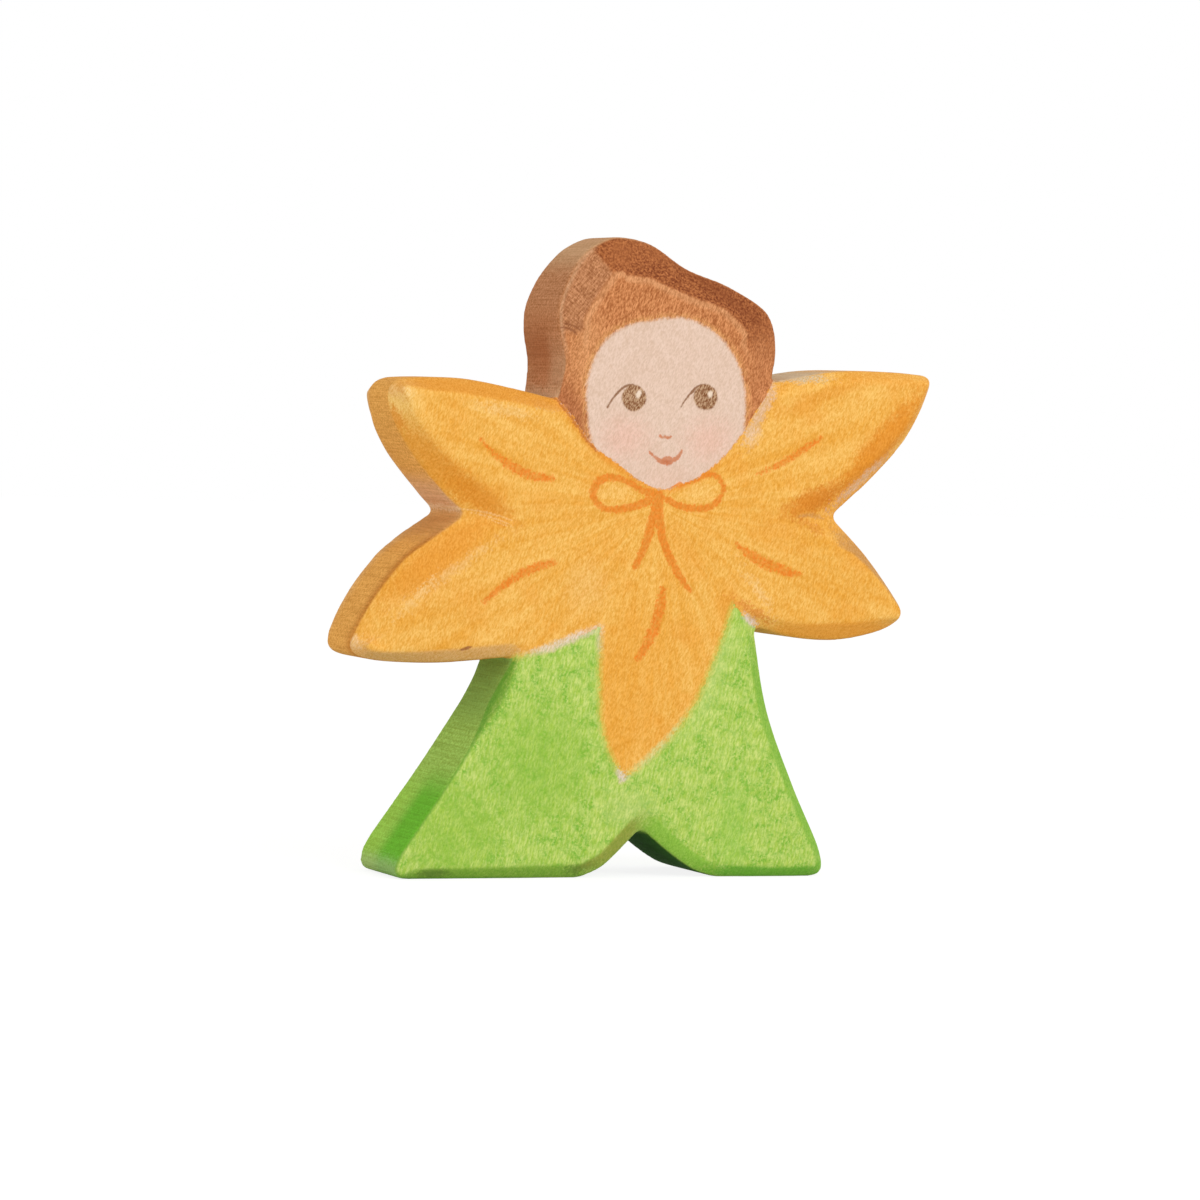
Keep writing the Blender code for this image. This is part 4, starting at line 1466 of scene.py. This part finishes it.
class Paintbox:
    """One material: a zone's own paint, and what its neighbours' paint does at the borders."""

    def __init__(self, zone: Zone, roughness: float, wood: Grain) -> None:
        """Opens a bench for the paint of a zone.

        Args:
            zone: the zone.
            roughness: how rough its front is.
            wood: how its glaze lets the wood show.
        """
        self.zone = zone
        self.wood = wood
        self.roughness = roughness
        self.bench = Bench(f"{zone.value}_glaze")

    @cached_property
    def ragged(self) -> Wire:
        """How far a brushed border wanders, in millimetres."""
        coarse = self.bench.noise(self.bench.place, scale=0.9, detail=1.0) - 0.5
        return coarse * 0.6 + (self.bench.noise(self.bench.place, scale=3.6, detail=1.0) - 0.5) * 0.7

    @cached_property
    def grain(self) -> Wire:
        """The sanded wood's short slanting bumps under the glaze."""
        return self.bench.noise(self.bench.stretched(5.6, 3.6, 2.3, -22), detail=1.5, rough=0.55)

    @cached_property
    def strands(self) -> Wire:
        """Fine upright streaks."""
        return self.bench.noise(self.bench.stretched(3.4, 1.4, 0.75, -12), detail=2.0, rough=0.5)

    @cached_property
    def clouds(self) -> Wire:
        """Blotches a few millimetres wide."""
        return self.bench.noise(self.bench.place, scale=0.5, detail=2.5, rough=0.6)

    @cached_property
    def mottle(self) -> Wire:
        """Broad blotches."""
        return self.bench.noise(self.bench.place, scale=0.16, detail=2.0, rough=0.6)

    @cached_property
    def speckle(self) -> Wire:
        """Small round specks."""
        return self.bench.noise(self.bench.place, scale=3.0, detail=2.0, rough=0.6)

    @cached_property
    def saw(self) -> Wire:
        """Fine lines that the saw left across the thickness of the board."""
        return self.bench.noise(self.bench.stretched(1.6, 0.1, 5.0), detail=1.0, rough=0.6)

    @cached_property
    def wall(self) -> Wire:
        """1 on the sawn walls and the back, 0 in front."""
        return self.bench.field("wall_field").rise(-0.15, 0.2)

    @cached_property
    def front(self) -> Wire:
        """1 in front, 0 on the sawn walls and the back."""
        return 1.0 - self.wall

    @cached_property
    def rim(self) -> Wire:
        """Distance from the sawn outline."""
        return self.bench.field("rim_field")

    @cached_property
    def inner(self) -> Wire:
        """Distance inside the inner edge of the chamfer, below 0 on the chamfer."""
        return self.bench.field("chamfer_field") + self.ragged * 0.3

    @cached_property
    def slope(self) -> Wire:
        """1 on the chamfer in front."""
        return self.inner.rise(0.3, -0.3) * self.front

    @cached_property
    def head(self) -> Wire:
        """Distance above the painted neckline."""
        return self.bench.field("head_field") + self.ragged

    @cached_property
    def face(self) -> Wire:
        """Distance inside the painted face's edge, below 0 everywhere behind."""
        return (self.bench.field("face_field") + self.ragged * 0.7).least(-self.bench.y)

    @cached_property
    def gown(self) -> Wire:
        """Distance below the painted hem of the cape."""
        return self.bench.field("dress_field") + self.ragged

    def patched(self, colour: Wire, patches: list, fray: float = 1.0, within: Input = 1.0) -> Wire:
        """Lays patches over a colour.

        Args:
            colour: the colour under them.
            patches: the patches in order.
            fray: how strongly their edges wander.
            within: where they may lie, from 0 to 1.

        Returns:
            The colour with the patches.
        """
        ragged = (self.ragged + (self.speckle - 0.5) * 1.2) * fray
        for glaze in patches:
            colour = glaze.laid(self.bench, colour, ragged, within)
        return colour

    def crossed(self, border: Wire, before: Input, beyond: Input) -> Wire:
        """Changes one colour for another across a painted border."""
        return self.bench.mix(border.rise(-BORDER_FADE, BORDER_FADE), before, beyond)

    def walled(self, colour: Wire, glaze: Glaze, patches: list) -> Wire:
        """Lays the glaze of the sawn walls and the back over them.

        Args:
            colour: the colour in front.
            glaze: the glaze of the walls.
            patches: where the walls differ, the back apart.

        Returns:
            The colour all over.
        """
        side = glaze.laid(self.bench, (self.speckle * 0.8 + self.saw * 0.2).rise(0.25, 0.75))
        side = self.patched(side, patches, fray=1.5, within=self.rim.rise(2.4, 1.0))
        return self.bench.mix(self.wall, colour, side)

    def _crowned(self, colour: Wire) -> Wire:
        """Lays the deep glaze on the crown's chamfer and the scratched one on the facet beside it.

        Args:
            colour: the hair's colour.

        Returns:
            The colour with both.
        """
        bench = self.bench
        split = bench.x + (bench.z - 84.5) * 0.7 + self.ragged * 0.4
        deep = self.patched(DEEP_CROWN.laid(bench, self.speckle.rise(0.3, 0.7)), CROWN_PATCHES)
        crown = self.slope * split.rise(-7.6, -6.8) * (bench.z + self.ragged * 3.0).rise(71.5, 78.5)
        colour = bench.mix(crown, colour, deep)
        both = [bench.noise(bench.stretched(5.6, 1.0, 0.9, turn), detail=1.0) for turn in (-38, 47)]
        scratched = both[0] * 0.4 + both[1] * 0.35 + self.speckle * 0.25
        facet = self.slope * split.rise(-6.8, -7.6) * (bench.z + self.ragged).rise(75.0, 76.5)
        return bench.mix(facet, colour, SCRATCHED_FACET.laid(bench, scratched.rise(0.3, 0.7)))

    def hair_paint(self) -> Wire:
        """Brown glaze.

        Returns:
            The hair's colour, combed in front, lighter at its edges and nicked on the left.
        """
        bench = self.bench
        combed = (self.strands * 0.55 + self.grain * 0.45).rise(0.3, 0.7)
        colour = self.patched(COMBED_HAIR.laid(bench, combed), HAIR_PATCHES)
        lip = self.inner.rise(-0.2, 0.3) * self.inner.rise(1.4, 0.5) * bench.z.rise(72.0, 76.0)
        colour = self._crowned(bench.mix(lip * 0.4, colour, Paint.HAIR_LIP))
        rim = self.rim.rise(0.9, 0.2) * bench.x.rise(-8.0, -10.0) * bench.z.rise(71.0, 75.0)
        colour = bench.mix(rim * self.front * 0.55, colour, Paint.HAIR_RIM)
        fringe = (self.face * -1.0).rise(1.2, 0.1) * self.front * self.strands.rise(0.3, 0.6)
        colour = self.marked(bench.mix(fringe * 0.6, colour, Paint.FRINGE), NICKS)
        return self.walled(colour, HAIR_WALL, HAIR_SIDES)

    def face_paint(self) -> Wire:
        """Skin-coloured glaze with a breath of pink."""
        return self.patched(SKIN.laid(self.bench, self.clouds.rise(0.3, 0.7)), FACE_PATCHES, fray=2.0)

    def cape_paint(self) -> Wire:
        """Golden glaze.

        Returns:
            The cape's colour, streaked outwards along the petals.
        """
        bench = self.bench
        rays = bench.noise(bench.polar(1.0, 52.0, 13.0, 0.07), detail=2.0, rough=0.6)
        colour = GOLD.laid(bench, (self.strands * 0.45 + rays * 0.55).rise(0.3, 0.7))
        colour = bench.mix(self.mottle.rise(0.45, 0.75) * 0.5, colour, Paint.GOLD_SHADE)
        colour = self.patched(colour, CAPE_PATCHES, fray=2.0)
        colour = self.patched(colour, CAPE_SLOPES, fray=1.5, within=self.slope)
        return self.walled(colour, GOLD_WALL, CAPE_SIDES)

    def dress_paint(self) -> Wire:
        """Spring green glaze.

        Returns:
            The dress's colour, mottled with darker specks.
        """
        bench = self.bench
        specks = (self.grain * 0.5 + self.speckle * 0.5).rise(0.42, 0.62)
        specks = specks * (self.clouds.rise(0.4, 0.62) * 0.75 + 0.12)
        colour = bench.mix(specks, GREEN.laid(bench, self.strands.rise(0.3, 0.7)), Paint.GREEN_SPECK)
        colour = self.patched(colour, DRESS_PATCHES, fray=2.0)
        edge = self.rim.rise(0.5, 0.15) * bench.x.rise(-17.0, -18.0)
        colour = bench.mix(edge * 0.7, colour, Paint.GREEN_EDGE)
        # The slopes' patches include painted shade under the feet and in the arch.
        colour = self.patched(colour, DRESS_SLOPES_AND_SHADE, fray=1.5, within=self.slope)
        # The walls' patches include the painted petal shadow and the painted shade inside the arch.
        return self.walled(colour, GREEN_WALL, DRESS_SIDES_AND_SHADE)

    def marked(self, colour: Wire, *layers: Marks) -> Wire:
        """Brushes marks over a colour.

        Args:
            colour: the colour under them.
            layers: the marks of each paint, in order.

        Returns:
            The marked colour.
        """
        bench = self.bench
        for marks in layers:
            ragged = self.ragged * (0.2 + 0.3 * marks.dry) + (self.speckle + self.grain - 1.0) * marks.dry
            masks = [mark.mask(bench, ragged, marks.soft) for mark in marks.brushed]
            covered = reduce(Wire.most, masks)
            fine = self.speckle * 0.6 + self.grain * 0.4
            thinned = 1.0 - fine.rise(0.62, 0.38) * 0.65 * marks.dry
            shown = covered * thinned * bench.y.rise(1.0, 0.0) * marks.share
            colour = bench.mix(shown, colour, marks.paint)
        return colour

    def material(self) -> bpy.types.Material:
        """Finishes the paint.

        Returns:
            The finished material.
        """
        bench = self.bench
        colour = {
            Zone.HAIR: self._head_colour,
            Zone.FACE: self._head_colour,
            Zone.CAPE: self._cape_colour,
            Zone.DRESS: self._dress_colour,
        }[self.zone]()
        sawn = self.speckle * 0.6 + self.saw * 0.4
        glazed = self.wood.tint(bench, self.grain)
        rough = SAWN.tint(bench, sawn)
        colour = bench.vector("MULTIPLY", colour, bench.mix(self.wall, glazed, rough))
        height = self.grain * self.front + sawn * self.wall
        roughness = self.wall * (DRY_WOOD - self.roughness) + self.roughness
        bench.plug(roughness, "Principled BSDF", "Roughness")
        return bench.finish(colour, height, self.wood.relief)

    def _features(self, skin: Wire) -> Wire:
        """Paints the face's features.

        Args:
            skin: the colour of the skin.

        Returns:
            The skin with lids, irises and their lights, nose, mouth and the bow's start on the chin.
        """
        bench = self.bench
        ragged = self.ragged * 0.3
        skin = self.marked(skin, LIDS)
        mottled = IRIS.laid(bench, self.grain.rise(0.35, 0.65))
        for iris, light in zip(IRISES, LIGHTS):
            skin = bench.mix(iris.mask(bench, ragged, 0.16), skin, mottled)
            skin = bench.mix(light.mask(bench, ragged, 0.15), skin, Paint.EYE_LIGHT)
        return self.marked(skin, MOUTH, LIPS, LOOP_ON_CHIN)

    def _head_colour(self) -> Wire:
        """Hair and face.

        Returns:
            Their colour, with the cape's where it wanders over the neckline.
        """
        skin = self.face_paint()
        if self.zone is Zone.FACE:
            skin = self._features(skin)
        colour = self.bench.mix(self.face.rise(-FACE_FADE, FACE_FADE), self.hair_paint(), skin)
        return self.crossed(self.head, Paint.GOLD_OVER_NECK, colour)

    def _cape_colour(self) -> Wire:
        """The cape with its veins and bow, and bare wood where the glazes miss each other.

        Returns:
            Its colour, with its neighbours' where they wander over its borders.
        """
        bench = self.bench
        collar = self.head.rise(-1.1, -0.1) * bench.x.rise(12.0, 8.0) * self.front
        colour = bench.mix(collar * 0.6, self.cape_paint(), Paint.COLLAR)
        # The crease mark among these is painted shade at the right notch.
        colour = self.marked(colour, VEINS, BOW, SCRATCHES, CREASE_SHADE, KNOT)
        colour = self.patched(colour, BARE_PATCHES, fray=1.5, within=self.front)
        line = abs(self.head + 0.1).rise(0.42, 0.2) * bench.x.rise(-8.0, -9.0)
        colour = bench.mix(line * 0.7, colour, Paint.NECK_LINE)
        colour = self.crossed(self.head, colour, Paint.HAIR_OVER_NECK)
        return self._hemmed(self.crossed(self.gown, colour, Paint.GREEN_OVER_HEM))

    def _hemmed(self, colour: Wire) -> Wire:
        """Paints the border of cape and dress: a mixed fringe, and bare wood where both stop short.

        Args:
            colour: the colour under it.

        Returns:
            The colour with the border.
        """
        bench = self.bench
        low = bench.z.rise(34.5, 33.0).most(bench.x.rise(7.0, 8.0) * bench.x.rise(13.2, 12.4))
        fringe = abs(self.gown).rise(0.9, 0.05) * low * self.front
        colour = bench.mix(fringe * 0.6, colour, Paint.HEM_FRINGE)
        bare = abs(self.gown + 0.1).rise(0.9, 0.2) * self.front
        return self.patched(colour, HEM_GAPS, fray=2.0, within=bare)

    def _dress_colour(self) -> Wire:
        """The dress, with the cape's colour where it wanders over the hem."""
        return self._hemmed(self.crossed(self.gown, Paint.GOLD_OVER_HEM, self.dress_paint()))


@dataclass(eq=False)
class Piece:
    """One of the board's four zones as a piece of the scene."""

    zone: Zone
    cuts: list[tuple[str, str]]
    roughness: float
    wood: Grain
    made: Optional[bpy.types.Object] = None

    def build(self, board: Board, blank: bpy.types.Object) -> None:
        """Cuts the piece from the sanded board."""
        self.made = board.part(f"{self.zone.value}_wood", blank, self.cuts)

    def dress(self) -> None:
        """Paints the piece and puts it in its CAD node's place."""
        self.made.data.materials.clear()
        self.made.data.materials.append(Paintbox(self.zone, self.roughness, self.wood).material())
        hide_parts(self.zone.value)
        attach(self.made, "root")
        LOG.info("%s: %d points", self.made.name, len(self.made.data.vertices))


@dataclass
class Figure:
    """The painted figure."""

    pieces: tuple[Piece, ...] = (
        Piece(Zone.HAIR, [("INTERSECT", "head"), ("DIFFERENCE", "face")], roughness=0.62, wood=HAIR_WOOD),
        Piece(Zone.FACE, [("INTERSECT", "head"), ("INTERSECT", "face")], roughness=0.60, wood=FACE_WOOD),
        Piece(Zone.CAPE, [("INTERSECT", "cape")], roughness=0.60, wood=CAPE_WOOD),
        Piece(Zone.DRESS, [("INTERSECT", "dress")], roughness=0.60, wood=DRESS_WOOD),
    )

    def build(self) -> None:
        """Sands the board and parts it."""
        outline = Outline()
        borders = Borders(outline)
        board = Board(outline, borders.neckline(), borders.face(), borders.cape_hem())
        blank = board.sanded()
        for piece in self.pieces:
            piece.build(board, blank)
        bpy.data.objects.remove(blank)

    def dress(self) -> None:
        """Paints every piece."""
        for piece in self.pieces:
            piece.dress()


@dataclass(frozen=True)
class Lamp:
    """A square soft box: its name, its place and size in metres, and its power in watts."""

    name: str
    place: tuple[float, float, float]
    size: float
    power: float

    def build(self, aim: Vector) -> None:
        """Hangs the lamp.

        Args:
            aim: the point that it faces.
        """
        data = bpy.data.lights.new(self.name, "AREA")
        data.energy = self.power
        data.size = self.size
        lamp = placed(self.name, data)
        lamp.location = self.place
        lamp.rotation_euler = (aim - lamp.location).to_track_quat("-Z", "Y").to_euler()


@dataclass
class Studio:
    """The pale floor, the soft light and the camera."""

    frame_pixels: float = 1200.0
    focal_pixels: float = 5190.0
    sensor: float = 36.0
    nearest: float = 0.01
    target: tuple[float, float, float] = (0.04, 0.0, 44.5)
    target_pixel: tuple[float, float] = (628.0, 557.0)
    bearing: float = 22.0
    distance: float = 730.0
    height: float = 68.5
    roll: float = 1.75
    floor_size: float = 4.0
    paper: float = 0.75
    glow: float = 0.86
    shadow_share: float = 0.22
    ambient: float = 0.66
    aim: tuple[float, float, float] = (0.0, 0.0, 0.045)
    lamps: tuple[Lamp, ...] = (
        Lamp("key", (0.45, -0.75, 0.55), size=0.5, power=3.6),
        Lamp("fill", (-0.75, -0.4, 0.1), size=0.6, power=2.0),
    )

    def _camera(self) -> None:
        """Stands the camera where the photograph was taken from."""
        data = bpy.data.cameras.new("camera")
        data.sensor_width = self.sensor
        data.lens = self.focal_pixels / self.frame_pixels * self.sensor
        data.shift_x = 0.5 - self.target_pixel[0] / self.frame_pixels
        data.shift_y = self.target_pixel[1] / self.frame_pixels - 0.5
        data.clip_start = self.nearest
        camera = placed("camera", data)
        turn = math.radians(self.bearing)
        target = Vector(self.target)
        side, back = self.distance * math.sin(turn), self.distance * math.cos(turn)
        place = Vector((target.x - side, -back, self.height))
        ahead = (target - place).normalized()
        right = ahead.cross(Vector((0, 0, 1))).normalized()
        up = right.cross(ahead)
        tilt = math.radians(self.roll)
        rolled_right = right * math.cos(tilt) + up * math.sin(tilt)
        rolled_up = up * math.cos(tilt) - right * math.sin(tilt)
        rotation = Matrix((rolled_right, rolled_up, -ahead)).transposed().to_4x4()
        camera.matrix_world = Matrix.Translation(place * MM) @ rotation
        bpy.context.scene.camera = camera

    def _floor(self) -> None:
        """A pale floor that is white in the picture, with the figure's faint shadow on it."""
        bm = bmesh.new()
        bmesh.ops.create_grid(bm, x_segments=2, y_segments=2, size=self.floor_size / 2)
        floor = placed("floor", meshed("floor", bm))
        material = bpy.data.materials.new("floor_paper")
        material.use_nodes = True
        material.node_tree.nodes.remove(material.node_tree.nodes["Principled BSDF"])
        tree = Tree(material.node_tree)
        paper, faint = (
            tree.node("ShaderNodeBsdfDiffuse", {}, {"Color": (share, share, share, 1.0)})
            for share in (self.paper, self.shadow_share)
        )
        glow = tree.node("ShaderNodeEmission", {}, {"Strength": self.glow})
        shown = tree.node("ShaderNodeAddShader", {}, [glow, faint])
        mixed = tree.node("ShaderNodeMixShader", {}, [tree.seen(), paper, shown])
        tree.plug(mixed, "Material Output", "Surface")
        floor.data.materials.append(material)

    def _world(self) -> None:
        """Even light from all around, seen as white."""
        world = bpy.data.worlds.new("studio")
        world.use_nodes = True
        tree = Tree(world.node_tree)
        tree.plug((1.0, 1.0, 1.0, 1.0), "Background", "Color")
        ranges = {"Value": tree.seen(), "To Min": self.ambient, "To Max": 1.0}
        tree.plug(tree.node("ShaderNodeMapRange", {}, ranges), "Background", "Strength")
        bpy.context.scene.world = world

    def build(self) -> None:
        """Sets everything up."""
        bpy.context.scene.view_settings.view_transform = "Standard"
        self._camera()
        self._floor()
        self._world()
        for lamp in self.lamps:
            lamp.build(Vector(self.aim))


def main() -> None:
    """Builds the figure and its studio."""
    logging.basicConfig(level=logging.INFO, format="%(name)s: %(message)s")
    figure = Figure()
    figure.build()
    figure.dress()
    Studio().build()


if __name__ == "__main__":
    main()
